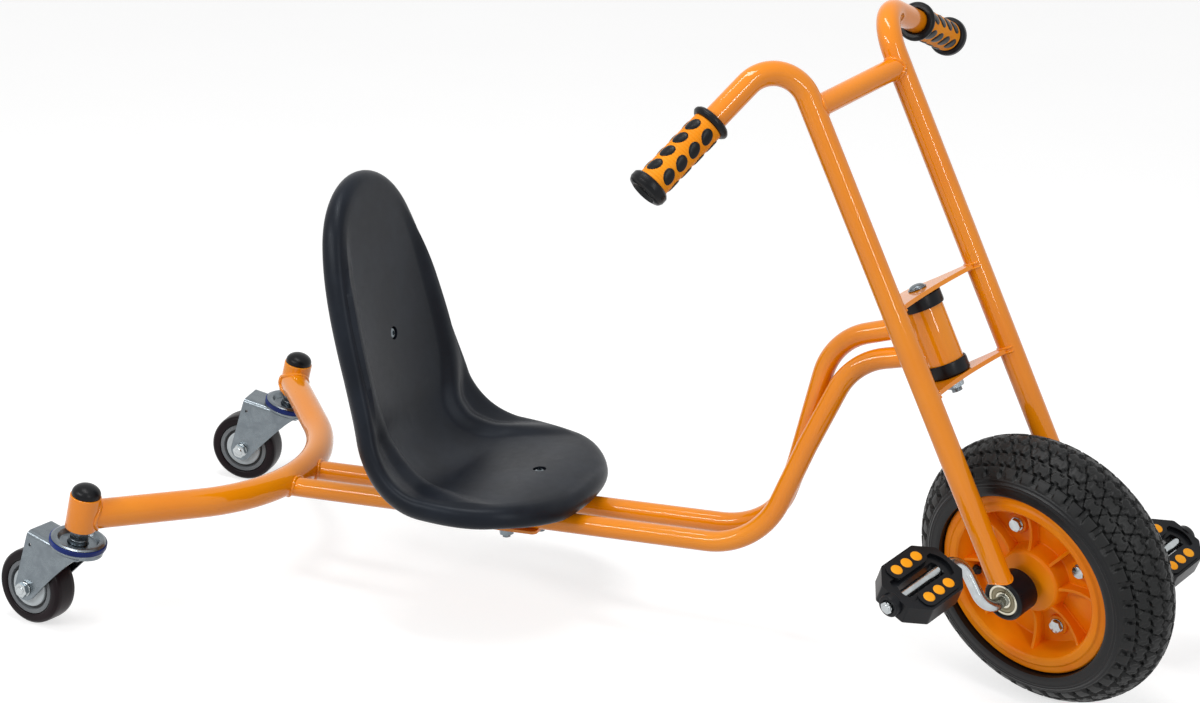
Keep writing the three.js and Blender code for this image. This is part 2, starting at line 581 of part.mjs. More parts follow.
// Inner tube, hollow, with its valve stem open and leaning out through the right rim half
const valveFrame = chain(turnY(-rim.valveAngle), move(mix(rimAt.floor, rimAt.well, 1 / 2), -rim.valveY, 0),
  turnZ(rim.valveLean), turnY(PI / 2));
function tubeBody() {
  const tube = innerTube;
  const foot = rimAt.well + seatedGap;
  const crown = tyreSection(0, tyre.crownWall + tube.clear)[0];
  const wide = tyreSection(tyre.inside[0], mix(tyre.wall, tyre.crownWall,
    cos(tyre.inside[0])) + 2 * tube.clear);
  const heel = [rimAt.seat + seatedGap, tyre.beadInnerY - tube.clear];
  const middle = (foot + crown) / 2;
  const skin = (share) => solidOf(turned(
    [[foot, 0], heel, wide, [crown, 0], [wide[0], -wide[1]], [heel[0], -heel[1]]]
      .map(([r, y]) => [mix(r, middle, share), mix(y, 0, share)]), rim.flats).applyMatrix4(turnX(PI / 2)));
  const stem = (radius, from, to) => solidOf(placed(cylinder(radius, from, to, FACETS), valveFrame));
  return skin(0).add(stem(tube.stemR, -tube.stemOut, tube.stemIn)).subtract(skin(tube.wallShare))
    .subtract(stem(tube.boreR, -2 * tube.stemOut, 2 * tube.stemIn));
}
addNode("inner_tube", tubeBody(), rubberBlack, wheelFrame);

// Rim halves, ribbed and dished, bolted together on the wheel's mid plane
const boltCircle = mix(rim.hubRadius, rimAt.floor, rim.boltShare);
const boltAt = (angle) => move(boltCircle * cos(angle), boltCircle * sin(angle), 0);
const aboutAxle = (side) => turnX(SIDES[side] * -PI / 2);

function rimHalf(side) {
  const r = rim;
  const split = seatedGap / 2;
  let body = solidOf(turned([
    [r.bore, split], [r.webInnerR, split], [r.webInnerR, r.webInnerY], [rimAt.ringInner - r.webInnerY,
      r.webInnerY],
    [rimAt.ringInner, split], [rimAt.well, split], [rimAt.seat, r.seatY - seatedGap],
    [rimAt.seat, tyre.beadY + seatedGap], [rimAt.lip, tyre.beadY + seatedGap], [rimAt.lip,
      r.lipY - r.stepDrop],
    [rimAt.lip - r.stepDrop, r.lipY], [rimAt.step + r.stepDrop, r.lipY], [rimAt.crestOut, r.crestY],
    [rimAt.crestIn, r.crestY], [rimAt.mouth, r.lipY - r.stepDrop], [rimAt.floor, r.floorY], [r.barrelFoot,
      r.floorY],
    [r.hubRadius, r.hubY], [r.hubCrownR, r.hubCrownY], [r.bore, r.hubCrownY],
  ], r.flats));
  const rib = new THREE.Shape();
  rib.moveTo(r.hubCrownR, r.webInnerY);
  rib.lineTo(rimAt.floor + r.ribThick, r.webInnerY);
  rib.lineTo(rimAt.mouth + r.ribThick / 2, r.ribOutY);
  rib.quadraticCurveTo(mix(r.hubRadius, rimAt.mouth, 1 / 2), r.ribDipY, r.hubRadius, r.ribHubY);
  rib.lineTo(r.hubCrownR, r.ribHubY);
  rib.closePath();
  const ribForm = extruded(rib, -r.ribThick / 2, r.ribThick / 2, 3);
  for (const angle of ways(r.ribs, PI / r.ribs)) {
    body = body.add(solidOf(placed(ribForm, chain(turnZ(angle), turnX(PI / 2)))));
  }
  for (const angle of ways(r.bolts)) {
    const at = boltAt(angle);
    body = body.add(solidOf(placed(cylinder(r.boltBossR, split, r.boltBossY, FACETS), at)));
    body = body.subtract(solidOf(placed(cylinder(rimBolt.radius + seatedGap, -r.lipY, r.lipY, 6), at)));
  }
  if (side === "left") return body;
  const valveHole = placed(cylinder(r.valveR, -2 * r.valveR, 2 * r.valveR, FACETS), valveFrame);
  return body.subtract(solidOf(placed(valveHole, aboutAxle(side).invert())));
}
for (const side of Object.keys(SIDES)) {
  addNode(side + "_rim_half", rimHalf(side), orangePlastic, chain(wheelFrame, aboutAxle(side)));
}

ways(rim.bolts).forEach((angle, k) => {
  const b = rimBolt;
  const face = rim.boltBossY + seatedGap;
  const ends = [1, -1].flatMap((s) => [
    hexPrism(b.headAcross, face, face + b.headHigh), cylinder(b.radius, 0, face + b.headHigh + b.tail, 6),
  ].map((g) => solidOf(placed(g, s > 0 ? move(0, 0, 0) : turnX(PI)))));
  addNode("rim_bolt_" + (k + 1), all(...ends), zinc,
    chain(wheelFrame, turnX(-PI / 2), boltAt(angle)));
});

// Crank: one rod bent into both arms and both pedal spindles
const armWay = new THREE.Vector3(cos(crank.lean), 0, sin(crank.lean));
function crankRoute() {
  const c = crank;
  const arm = (s, y, r) => armWay.clone().multiplyScalar(-s * c.radius * r).setY(s * y);
  return new Route([
    arm(-1, c.reach, 1), arm(-1, c.armY, 1), arm(-1, c.armY, 0), arm(1, c.armY, 0), arm(1, c.armY, 1),
      arm(1, c.reach, 1),
  ], [c.bend, c.bend, c.bend, c.bend], 8);
}
addNode("crank_axle", solidOf(bar(crankRoute(), crank.rod)), zinc, wheelFrame);

// Pedals: a chamfered black body that turns on the rod, with orange studs through both faces
function pedalFrame(side) {
  const at = armWay.clone().multiplyScalar(-SIDES[side] * crank.radius).setY(SIDES[side] * pedal.midY);
  return chain(wheelFrame, move(at.x, at.y, at.z), turnY(-pedal.tilt));
}

function pedalBody() {
  const p = pedal;
  const plan = (grow) => {
    const s = new THREE.Shape();
    const [w, l] = [p.halfWide + grow, p.halfLong + grow];
    s.moveTo(w, l - p.cornerLong);
    s.lineTo(w - p.corner, l);
    s.lineTo(p.corner - w, l);
    s.lineTo(-w, l - p.cornerLong);
    s.lineTo(-w, p.cornerLong - l);
    s.lineTo(p.corner - w, -l);
    s.lineTo(w - p.corner, -l);
    s.lineTo(w, p.cornerLong - l);
    s.closePath();
    return s;
  };
  const face = p.halfThick - p.padRise;
  let body = solidOf(extruded(plan(0), -face, face));
  for (const s of [1, -1]) {
    const pad = new THREE.Shape();
    const [w, l] = [p.padWide / 2, p.padLong / 2];
    pad.moveTo(-w / 2, -l);
    pad.lineTo(w / 2, -l);
    pad.quadraticCurveTo(w, -l, w, -l + w / 2);
    pad.lineTo(w, l - w / 2);
    pad.quadraticCurveTo(w, l, w / 2, l);
    pad.lineTo(-w / 2, l);
    pad.quadraticCurveTo(-w, l, -w, l - w / 2);
    pad.lineTo(-w, -l + w / 2);
    pad.quadraticCurveTo(-w, -l, -w / 2, -l);
    body = body.add(solidOf(placed(extruded(pad, -p.halfThick, p.halfThick, 2), move(s * p.rowOff, 0, 0))));
  }
  const window = new THREE.Shape();
  window.moveTo(-p.windowWide / 2, -p.windowLong / 2);
  window.quadraticCurveTo(0, -p.windowLong / 2 - p.windowBow, p.windowWide / 2, -p.windowLong / 2);
  window.lineTo(p.windowWide / 2, p.windowLong / 2);
  window.quadraticCurveTo(0, p.windowLong / 2 + p.windowBow, -p.windowWide / 2, p.windowLong / 2);
  window.closePath();
  body = body.subtract(solidOf(extruded(window, -p.halfThick * 2, p.halfThick * 2, 3)));
  const bore = cylinder(crank.rod + p.boreGap, -p.halfLong * 2, p.halfLong * 2, SMALL);
  body = body.subtract(solidOf(placed(bore, turnX(PI / 2))));
  for (const s of [1, -1]) body = body.subtract(solidOf(placed(insertForm(seatedGap / 2, p.halfThick * 2),
    move(s * p.rowOff, 0, 0))));
  return body;
}

function insertForm(grow, rise) {
  const p = pedal;
  const half = p.studPitch + p.studRadius / 2;
  const strip = new THREE.BoxGeometry(2 * (p.barHalf + grow), 2 * (half + grow), 2 * (p.barHalf + grow));
  const rows = [-1, 0, 1].map((k) => placed(cylinder(p.studRadius + grow, -rise, rise, FACETS), move(0,
    k * p.studPitch, 0)));
  return geometryOf(all(solidOf(strip), ...rows.map(solidOf)));
}

for (const side of Object.keys(SIDES)) {
  addNode(side + "_pedal_body", pedalBody(), blackPlastic, pedalFrame(side));
  for (const [name, s] of [["front", 1], ["rear", -1]]) {
    addNode(side + "_pedal_" + name + "_insert", solidOf(insertForm(0, pedal.halfThick + pedal.studRise)),
      orangePlastic,
      chain(pedalFrame(side), move(s * pedal.rowOff, 0, 0)));
  }
  const from = pedal.halfLong + seatedGap;
  addNode(side + "_pedal_nut", all(
    solidOf(cylinder(pedalNut.collarR, from, from + pedalNut.collarHigh, SMALL)),
    solidOf(hexPrism(pedalNut.across, from, from + pedalNut.collarHigh + pedalNut.high)),
  ).subtract(solidOf(cylinder(crank.rod + seatedGap, 0, pedal.halfLong * 2, FACETS))), zinc,
    chain(pedalFrame(side), turnX(SIDES[side] * -PI / 2)));
}

// Castors
function yokeLeg(from, to) {
  const y = yoke;
  const [cx, cz] = [-castor.trail, -castor.drop];
  const plan = new THREE.Shape();
  plan.moveTo(y.rearX, y.topZ);
  plan.lineTo(cx - y.footRadius, cz);
  plan.absarc(cx, cz, y.footRadius, PI, y.footArc, false);
  plan.quadraticCurveTo(y.kneeX, y.kneeZ, y.noseX, y.noseZ);
  plan.lineTo(y.frontX, y.topZ);
  plan.closePath();
  plan.holes.push(new THREE.Path().absarc(cx, cz, castorBolt.radius + y.boltGap, 0, 2 * PI, true));
  return solidOf(extruded(plan, from, to, 4).applyMatrix4(turnX(PI / 2)));
}

function yokeBody() {
  const y = yoke;
  const half = y.halfInner + y.sheet;
  const top = new THREE.Shape();
  top.moveTo(y.rearX, -half);
  top.lineTo(y.frontX, -half);
  top.quadraticCurveTo(y.dishRadius * 2 - y.frontX, 0, y.frontX, half);
  top.lineTo(y.rearX, half);
  top.closePath();
  const dish = turned([
    [y.neck, y.topZ - y.sheet], [y.dishRadius - y.sheet, y.topZ - y.sheet], [y.dishRadius, y.topZ + y.sheet],
    [y.dishRadius - y.sheet / 2, y.dishTop - y.sheet / 2], [y.dishRadius - y.sheet, y.dishTop],
    [y.dishIn + y.sheet, y.dishTop], [y.dishIn, y.dishWell], [y.neck, y.dishWell],
  ]);
  return all(solidOf(extruded(top, y.topZ - y.sheet, y.topZ, 4)), yokeLeg(-half, -y.halfInner),
    yokeLeg(y.halfInner, half),
    solidOf(dish)).subtract(solidOf(cylinder(y.neck, y.topZ - 2 * y.sheet, y.dishTop * 2)));
}

for (const side of Object.keys(SIDES)) {
  const swivel = swivelFrame(side);
  const rolling = castorWheelFrame(side);
  addNode(side + "_castor_stem", all(
    solidOf(cylinder(stem.radius, stem.hexFrom, socket.to - plug.spigotLong - seatedGap)),
    solidOf(hexPrism(stem.hexAcross, stem.hexFrom, socket.from - seatedGap)),
    solidOf(turned([[0, stem.coneTo], [stem.coneFoot, stem.coneTo], [stem.coneRadius,
      stem.coneTo + stem.bore],
      [stem.coneRadius, stem.hexFrom], [0, stem.hexFrom]])),
  ), zinc, socketFrame(side));
  const rimAt = socket.to + seatedGap;
  addNode(side + "_socket_plug", solidOf(turned([
    [0, rimAt - plug.spigotLong], [plug.spigot, rimAt - plug.spigotLong], [plug.spigot, rimAt],
    [plug.domeRadius, rimAt], ...plug.arc.map((a) => (
      [a < PI / 2 ? plug.domeRadius * cos(a) : 0,
        rimAt + plug.rimHigh + (plug.domeHigh - plug.rimHigh) * sin(a)])),
  ])), blackPlastic, socketFrame(side));
  addNode(side + "_castor_yoke", yokeBody(), zinc, swivel);
  addNode(side + "_castor_seal", solidOf(turned([
    [seal.inner, -seal.half], [seal.outer, -seal.half], [seal.outer, seal.half], [seal.inner, seal.half],
  ], WHEEL)), blueSeal, swivel);
  const w = castorWheel;
  addNode(side + "_castor_tread", solidOf(turned([
    [w.treadIn + seatedGap, -w.half], [w.radius - w.edge, -w.half], [w.radius, -w.half + w.edge],
    [w.radius, w.half - w.edge], [w.radius - w.edge, w.half], [w.treadIn + seatedGap, w.half],
  ], WHEEL)), maroonTread, chain(rolling, turnX(PI / 2)));
  const face = (s) => [
    [w.treadIn, s * w.coreHalf], [w.grooveOut, s * w.coreHalf], [w.grooveIn, s * (w.coreHalf - w.grooveDeep)],
    [w.discR, s * w.discHalf], [w.hubRadius, s * w.hubHalf], [w.bore, s * w.hubHalf],
  ];
  addNode(side + "_castor_core", solidOf(turned([...face(1), ...face(-1).reverse()], WHEEL)), greyCore,
    chain(rolling, turnX(PI / 2)));
  const b = castorBolt;
  const seatAt = yoke.halfInner + yoke.sheet + seatedGap;
  const ends = [1, -1].flatMap((s) => [
    cylinder(b.radius, 0, seatAt + b.headHigh + (s > 0 ? b.tail : b.tail / 2), FACETS),
    hexPrism(b.headAcross, seatAt, seatAt + b.headHigh),
  ].map((g) => solidOf(placed(g, s > 0 ? move(0, 0, 0) : turnX(PI)))));
  addNode(side + "_castor_bolt", all(...ends), zinc, chain(rolling, turnX(-PI / 2)));
}

// Seat: a hollow moulded bucket, thick round the rim, swept along its own side profile
function seatSpine(along) {
  // Point and forward-facing normal of the seat's mid line, along its length from the nose
  const s = seat;
  const bendLong = s.bend * (s.backLean - s.panRise);
  const flat = min(along, s.panLong);
  const heading = s.panRise + min(max(along - s.panLong, 0), bendLong) / s.bend;
  const back = max(along - s.panLong - bendLong, 0);
  return {
    x: s.noseX - flat * cos(s.panRise) - s.bend * (sin(heading) - sin(s.panRise)) - back * cos(s.backLean),
    z: s.noseZ + flat * sin(s.panRise) + s.bend * (cos(s.panRise) - cos(heading)) + back * sin(s.backLean),
    nx: sin(heading), nz: cos(heading), heading,
  };
}

function seatOutline(count) {
  const s = seat;
  const path = new THREE.Path();
  path.moveTo(0, 0);
  path.bezierCurveTo(0, s.noseRound, s.panFull, s.panHalf, s.panAt, s.panHalf);
  path.bezierCurveTo(s.panOut, s.panHalf, s.waistIn, (s.panHalf + 2 * s.waistHalf) / 3, s.waistAt,
    s.waistHalf);
  path.bezierCurveTo(s.backOut, s.backHalf, s.shoulderIn, s.shoulderFull, s.shoulderAt, s.shoulderHalf);
  path.bezierCurveTo(s.crownIn, s.crownHalf, s.length, s.crownRound, s.length, 0);
  return path.getSpacedPoints(count);
}

function seatPoint(along, across, lift) {
  // The sides stand up round the back and fall away towards the nose
  const s = seat;
  const spine = seatSpine(along);
  const rising = mix(s.noseRaise, s.backRaise, THREE.MathUtils.smoothstep(along, 0, s.raiseAt));
  const raise = mix(rising, s.topRaise, THREE.MathUtils.smoothstep(along, s.fallFrom, s.length));
  const tip = s.tipDrop * max(1 - along / s.tipLong, 0) ** 2;
  const out = lift + raise * (across / s.panHalf) ** 2 - min(tip, s.tipDrop);
  return [spine.x + spine.nx * out, across, spine.z + spine.nz * out];
}

function seatSkin(shrink, count, front, edge, rear) {
  // Radial sections from the middle of the face, round the rim and back to the middle behind
  const s = seat;
  const half = seatOutline(count);
  const ring = [...half, ...half.slice(1, -1).reverse().map((p) => new THREE.Vector2(p.x, -p.y))];
  const middle = new THREE.Vector2(s.middle, 0);
  const face = s.thick / 2 - shrink;
  const round = s.rimRadius - shrink;
  const section = [
    ...front.map(({ share, sink }) => ({ share, lift: face - sink })),
    ...edge.map((a) => ({ share: 1, out: round * cos(a), lift: round * sin(a) })),
    ...rear.map((share) => ({ share, lift: -face })),
  ];
  const positions = [];
  const index = [];
  const columns = section.length;
  for (const p of ring) {
    const away = p.clone().sub(middle).normalize();
    for (const { share, out = 0, lift } of section) {
      const at = middle.clone().lerp(p, share).addScaledVector(away, out);
      positions.push(...seatPoint(at.x, at.y, lift));
    }
  }
  const hub = ring.length * columns;
  positions.push(...seatPoint(s.middle, 0, face), ...seatPoint(s.middle, 0, -face));
  ring.forEach((_, i) => {
    const [here, next] = [i * columns, ((i + 1) % ring.length) * columns];
    index.push(hub, here, next);
    for (let j = 0; j + 1 < columns; j++) index.push(here + j, here + j + 1, next + j, next + j,
      here + j + 1, next + j + 1);
    index.push(hub + 1, next + columns - 1, here + columns - 1);
  });
  const geometry = new THREE.BufferGeometry();
  geometry.setAttribute("position", new THREE.Float32BufferAttribute(positions, 3));
  geometry.setIndex(index);
  return solidOf(geometry);
}

// Seat mounting: a bent bracket lies on the tubes and rises behind the seat, a clamp plate lies under them
const bracketTop = (x) => tubeZ(x) + (frameTube.radius + seatedGap + seatMount.thick) / cos(frameTube.climb);
const backHole = seatSpine(seat.backHoleAt);
const backHoleFrame = chain(move(backHole.x, 0, backHole.z), turnY(backHole.heading));
const panHoleFrame = onTubes(seat.panHoleX, 0);
const panHoleAt = (seat.noseX - seat.panHoleX) / cos(seat.panRise);
const panFace = seatSpine(panHoleAt).z + seat.thick / 2 - tubeZ(seat.panHoleX);

function seatBracket() {
  const m = seatMount;
  const line = (drop) => {
    const points = [m.frontX, m.rearX].map((x) => [x, bracketTop(x) - drop]);
    const from = seat.panLong + seat.bend * -seat.panRise;
    for (let k = 1; k <= stay.steps; k++) {
      const at = seatSpine(mix(from, stay.to, k / stay.steps));
      const out = seat.thick / 2 + stay.gap + drop;
      points.push([at.x - at.nx * out, at.z - at.nz * out]);
    }
    return points.map(([x, z]) => new THREE.Vector2(x, z));
  };
  const profile = new THREE.Shape([...line(0), ...line(m.thick).reverse()]);
  const top = seatSpine(stay.to).z;
  const front = new THREE.Shape();
  front.moveTo(m.half, 0);
  front.lineTo(m.half, stay.footZ);
  front.lineTo(stay.footHalf, stay.footZ);
  front.quadraticCurveTo(stay.topHalf, stay.footZ, stay.topHalf, stay.neckZ);
  front.lineTo(stay.topHalf, top - stay.topHalf);
  front.absarc(0, top - stay.topHalf, stay.topHalf, 0, PI);
  front.lineTo(-stay.topHalf, stay.neckZ);
  front.quadraticCurveTo(-stay.topHalf, stay.footZ, -stay.footHalf, stay.footZ);
  front.lineTo(-m.half, stay.footZ);
  front.lineTo(-m.half, 0);
  front.closePath();
  const sheet = solidOf(extruded(profile, -m.half, m.half).applyMatrix4(turnX(PI / 2)));
  const outline = solidOf(extruded(front, 2 * m.rearX, 0, 5).applyMatrix4(chain(turnZ(PI / 2),
    turnX(PI / 2))));
  return boltHoles(sheet.intersect(outline)).subtract(solidOf(placed(seatHole(), backHoleFrame)));
}

function seatHole(radius = seat.holeRadius) {
  return cylinder(radius, -3 * seat.thick, 3 * seat.thick, FACETS);
}

function boltHoles(body) {
  const frames = [panHoleFrame, ...Object.values(SIDES).map((s) => onTubes(seatMount.boltX,
    s * frameTube.spread))];
  return frames.reduce((rest, frame) => rest.subtract(solidOf(placed(seatHole(), frame))), body);
}

addNode("seat_bracket", seatBracket(), blackPaint);
const clampTop = -frameTube.radius - seatedGap;
addNode("seat_clamp_plate", boltHoles(solidOf(placed(
  new THREE.BoxGeometry(2 * seatMount.clampHalfLong, 2 * seatMount.clampHalf, seatMount.thick),
  chain(onTubes(seatMount.boltX, 0), move(0, 0, clampTop - seatMount.thick / 2))))), blackPaint);

function seatBoltBody(headAt, nutAt) {
  // A low domed head above, a nut with the bolt's tail below it
  const b = seatBolt;
  return all(
    solidOf(cylinder(b.radius, nutAt - b.nutHigh - b.tail, headAt + b.headHigh / 2, FACETS)),
    solidOf(turned([[0, headAt], [b.headRadius, headAt], [b.radius, headAt + b.headHigh], [0,
      headAt + b.headHigh]], SMALL)),
    solidOf(hexPrism(b.nutAcross, nutAt - b.nutHigh, nutAt)),
  );
}
const nutFace = clampTop - seatMount.thick - seatedGap;
addNode("seat_pan_bolt", seatBoltBody(panFace - seatBolt.sink, nutFace), zinc, panHoleFrame);
for (const side of Object.keys(SIDES)) {
  addNode(side + "_clamp_bolt", seatBoltBody(frameTube.radius + 2 * seatedGap + seatMount.thick, nutFace),
    zinc,
    onTubes(seatMount.boltX, SIDES[side] * frameTube.spread));
}
const backNutAt = -seat.thick / 2 - stay.gap - seatMount.thick - seatedGap;
addNode("seat_back_bolt", seatBoltBody(seat.thick / 2 - seatBolt.sink, backNutAt), zinc, backHoleFrame);

function seatShell() {
  const s = seat;
  const [m, b] = [seatMount, seatBolt];
  const groove = [-1, 0, 1].map((k) => ({ share: s.grooveShare + k * s.grooveHalfShare,
    sink: k ? 0 : s.grooveDeep }));
  const inner = s.innerShares.map((share) => ({ share, sink: 0 }));
  const behind = s.innerShares.toReversed();
  let body = seatSkin(0, s.outlineSteps, [...inner, ...groove], s.edgeArc, [s.grooveShare, ...behind]);
  let hollow = seatSkin(s.wall, s.hollowSteps, [...inner, { share: s.grooveShare, sink: s.grooveDeep }],
    s.hollowArc, behind);
  for (const y of Object.values(SIDES)) {
    const foot = new THREE.BoxGeometry(m.frontX - m.rearX, 2 * s.footHalf, s.thick)
      .applyMatrix4(chain(onTubes((m.frontX + m.rearX) / 2, y * frameTube.spread), move(0, 0,
        frameTube.radius + s.thick / 2)));
    body = body.add(solidOf(foot));
    const vent = seatSpine(s.ventAt);
    const through = placed(seatHole(s.ventRadius), chain(move(vent.x, y * s.ventY, vent.z),
      turnY(vent.heading)));
    hollow = hollow.add(solidOf(through));
    const head = cylinder(b.headRadius + 2 * seatedGap, 0,
      frameTube.radius + m.thick + b.headHigh + 3 * seatedGap, SMALL);
    hollow = hollow.add(solidOf(placed(head, onTubes(m.boltX, y * frameTube.spread))));
  }
  for (const [frame, face] of [[panHoleFrame, panFace], [backHoleFrame, s.thick / 2]]) {
    const boss = cylinder(s.bossRadius, face - 2 * s.thick, face, ROUND);
    const spotFace = cylinder(b.headRadius + 2 * seatedGap, face - b.sink - seatedGap, face + s.thick, HEAD);
    hollow = hollow.subtract(solidOf(placed(boss, frame))).add(solidOf(placed(seatHole(),
      frame))).add(solidOf(placed(spotFace, frame)));
  }
  const below = new THREE.BoxGeometry(4 * s.length, 4 * s.length, 4 * s.thick)
    .applyMatrix4(chain(onTubes(m.boltX, 0), move(0, 0,
      frameTube.radius + m.thick + 2 * seatedGap - 2 * s.thick)));
  const nearMount = new THREE.BoxGeometry(m.frontX - m.rearX + s.thick, 2 * m.half + s.thick, 8 * s.thick)
    .applyMatrix4(onTubes((m.frontX + m.rearX) / 2, 0));
  return body.subtract(hollow).subtract(solidOf(below).intersect(solidOf(nearMount)));
}
addNode("seat_shell", seatShell(), seatPlastic);

// Part origin: under the middle of the whole part
const bounds = new THREE.Box3().setFromObject(part, true);
part.position.set(-(bounds.min.x + bounds.max.x) / 2, -(bounds.min.y + bounds.max.y) / 2, -bounds.min.z);

export default part;
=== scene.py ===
"""A child's drift trike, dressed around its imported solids.

Lengths are millimetres in the trike's drawing frame, X forward, Y left and Z up, until make() turns
a piece into metres in the part's frame. At rest the fork is turned to the rider's right.
"""
import math

import bmesh
import bpy
import numpy as np
from mathutils import Matrix, Vector


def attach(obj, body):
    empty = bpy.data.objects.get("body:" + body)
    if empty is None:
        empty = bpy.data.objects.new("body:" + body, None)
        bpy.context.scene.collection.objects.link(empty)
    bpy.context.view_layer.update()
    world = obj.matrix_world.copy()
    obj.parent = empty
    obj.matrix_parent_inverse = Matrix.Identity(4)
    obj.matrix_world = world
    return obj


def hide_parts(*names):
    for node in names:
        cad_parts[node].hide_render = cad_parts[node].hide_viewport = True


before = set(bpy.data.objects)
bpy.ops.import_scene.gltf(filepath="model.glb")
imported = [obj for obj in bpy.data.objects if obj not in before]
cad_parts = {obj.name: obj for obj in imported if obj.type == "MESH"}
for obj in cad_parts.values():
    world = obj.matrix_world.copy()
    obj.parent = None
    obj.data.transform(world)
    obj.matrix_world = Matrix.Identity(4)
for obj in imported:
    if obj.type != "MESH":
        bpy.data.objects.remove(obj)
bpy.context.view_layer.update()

TURN = 2 * math.pi
SIDES = {"left": 1, "right": -1}
chance = np.random.RandomState(7)


# Places
def move(x=0.0, y=0.0, z=0.0):
    return Matrix.Translation((x, y, z))


def turn(axis, degrees):
    return Matrix.Rotation(math.radians(degrees), 4, axis)


def put(points, place):
    m = np.array(place)
    return np.asarray(points, float) @ m[:3, :3].T + m[:3, 3]


def along(point, way):
    return move(*point) @ Vector(way).to_track_quat("Z", "Y").to_matrix().to_4x4()


# Where the drawing frame stands in the part's frame
PART = move(85.716, -0.130, 0.251)
MILLIMETRE = 0.001

# Named lengths, as the part has them
RAKE, STEER, AXLE_LEAD, HEAD_X = 24.9, -25.4, 19.7, 323.5
TYRE = {"radius": 131.0, "half": 42.5, "height": 46.0, "power": 1.8, "core": 85.0}
LEAN = math.asin(math.sin(math.radians(-STEER)) * math.sin(math.radians(RAKE)))
HEAD_Z = (TYRE["core"] * math.cos(LEAN) + TYRE["height"]
          - AXLE_LEAD * math.cos(math.radians(STEER)) * math.sin(math.radians(RAKE)))
HEAD_MID, HEAD_HALF = 234.3, 35.7
HEAD_MID_Z = HEAD_Z + HEAD_MID * math.cos(math.radians(RAKE))
HEAD_LOW, HEAD_HIGH = HEAD_MID - HEAD_HALF, HEAD_MID + HEAD_HALF
HEAD_TUBE_R, HEAD_TUBE_WALL = 16.8, 2.6
HEAD = move(HEAD_X, 0, HEAD_Z) @ turn("Y", -RAKE)
FORK = HEAD @ turn("Z", STEER)
WHEEL = FORK @ move(AXLE_LEAD)
TILT, TRAIL, DROP, CASTOR_R = 13.5, 38.9, 65.5, 37.5
SOCKET_X, SOCKET_Y = -542.2, 213.8
TWIST = {"left": 5.4, "right": -9.5}
DISC_Z = CASTOR_R + DROP * math.cos(math.radians(TILT)) - TRAIL * math.sin(math.radians(TILT))
SOCKET = {side: move(SOCKET_X, s * SOCKET_Y, DISC_Z) @ turn("Y", TILT) for side, s in SIDES.items()}
SWIVEL = {side: SOCKET[side] @ turn("Z", TWIST[side]) for side in SIDES}
ROLLING = {side: SWIVEL[side] @ move(-TRAIL, 0, -DROP) for side in SIDES}
CRANK_R, ARM_LEAN, ROD, ARM_Y, REACH = 56.2, math.radians(94.9), 5.5, 88.3, 191.5
ARM_WAY = np.array([math.cos(ARM_LEAN), 0, math.sin(ARM_LEAN)])
PEDAL_Y, PEDAL_TILT = 145.8, 47.4
PEDAL = {side: WHEEL @ move(*(-s * CRANK_R * ARM_WAY + (0, s * PEDAL_Y, 0))) @ turn("Y", PEDAL_TILT)
         for side, s in SIDES.items()}
LEG_R, LEG_X, LEG_Y, LEG_TOP, LEG_BEND, LEG_TURN, LEG_SWEEP, BAR_LONG = (
    10.95, 22.2, 60.2, 476.6, 34.0, math.radians(111.8), math.radians(24.4), 123.0)
TUBE_R, TUBE_Y, TUBE_CLIMB = 9.5, 25.0, 1.57
TUBE_START_X, TUBE_START_Z = -418, 99.8
RAIL_R = TUBE_R + 0.3
BOW_R, BOW_X, BOW_Z, BOW_BEND, BOW_SWEEP, BOW_FALL = 14.3, -419.0, 104.0, 192.0, 39.5, 7.1
BOW_WALL, RAIL_WALL, LEG_WALL, BRACE_WALL = 2.0, 1.8, 2.0, 1.6


# Lines
def unit(v):
    v = np.asarray(v, float)
    return v / np.maximum(np.linalg.norm(v, axis=-1, keepdims=True), 1e-12)


def rounded(corners, radii, closed=False, limit=1.0, step=7.0):
    """A line through corners, each rounded to its own radius"""
    corners = np.array(corners, float)
    count = len(corners)
    radii = np.full(count, radii) if np.isscalar(radii) else np.array([0, *radii, 0], float)
    line = []
    for i, corner in enumerate(corners):
        if (not closed and i in (0, count - 1)) or radii[i] == 0:
            line.append(corner)
            continue
        before, after = corners[i - 1], corners[(i + 1) % count]
        arrive, leave = unit(corner - before), unit(after - corner)
        angle = math.acos(np.clip(arrive @ leave, -1, 1))
        if angle < 0.02:
            line.append(corner)
            continue
        room = limit * min(np.linalg.norm(corner - before), np.linalg.norm(after - corner))
        radius = min(radii[i], room / math.tan(angle / 2))
        start = corner - arrive * radius * math.tan(angle / 2)
        inward = unit(leave - arrive * math.cos(angle))
        for t in np.linspace(0, angle, 2 + int(math.degrees(angle) / step)):
            line.append(start + arrive * radius * math.sin(t) + inward * radius * (1 - math.cos(t)))
    return np.array(line)


def curved(start, control, end, count=10):
    t = np.linspace(0, 1, count)[:, None]
    start, control, end = (np.array(p, float) for p in (start, control, end))
    return (1 - t) ** 2 * start + 2 * t * (1 - t) * control + t * t * end


def arc(centre, radius, start, end, count=16):
    t = np.radians(np.linspace(start, end, count))
    return np.stack([centre[0] + radius * np.cos(t), centre[1] + radius * np.sin(t)], -1)


def resampled(line, count):
    length = np.r_[0, np.cumsum(np.linalg.norm(np.diff(line, axis=0), axis=1))]
    at = np.linspace(0, length[-1], count)
    return np.stack([np.interp(at, length, line[:, k]) for k in range(line.shape[1])], -1)


def headings(line, closed=False):
    step = unit(np.diff(np.vstack([line, line[:1]]) if closed else line, axis=0))
    if closed:
        return unit(step + np.roll(step, 1, 0))
    return unit(np.vstack([step[:1], step[:-1] + step[1:], step[-1:]]))


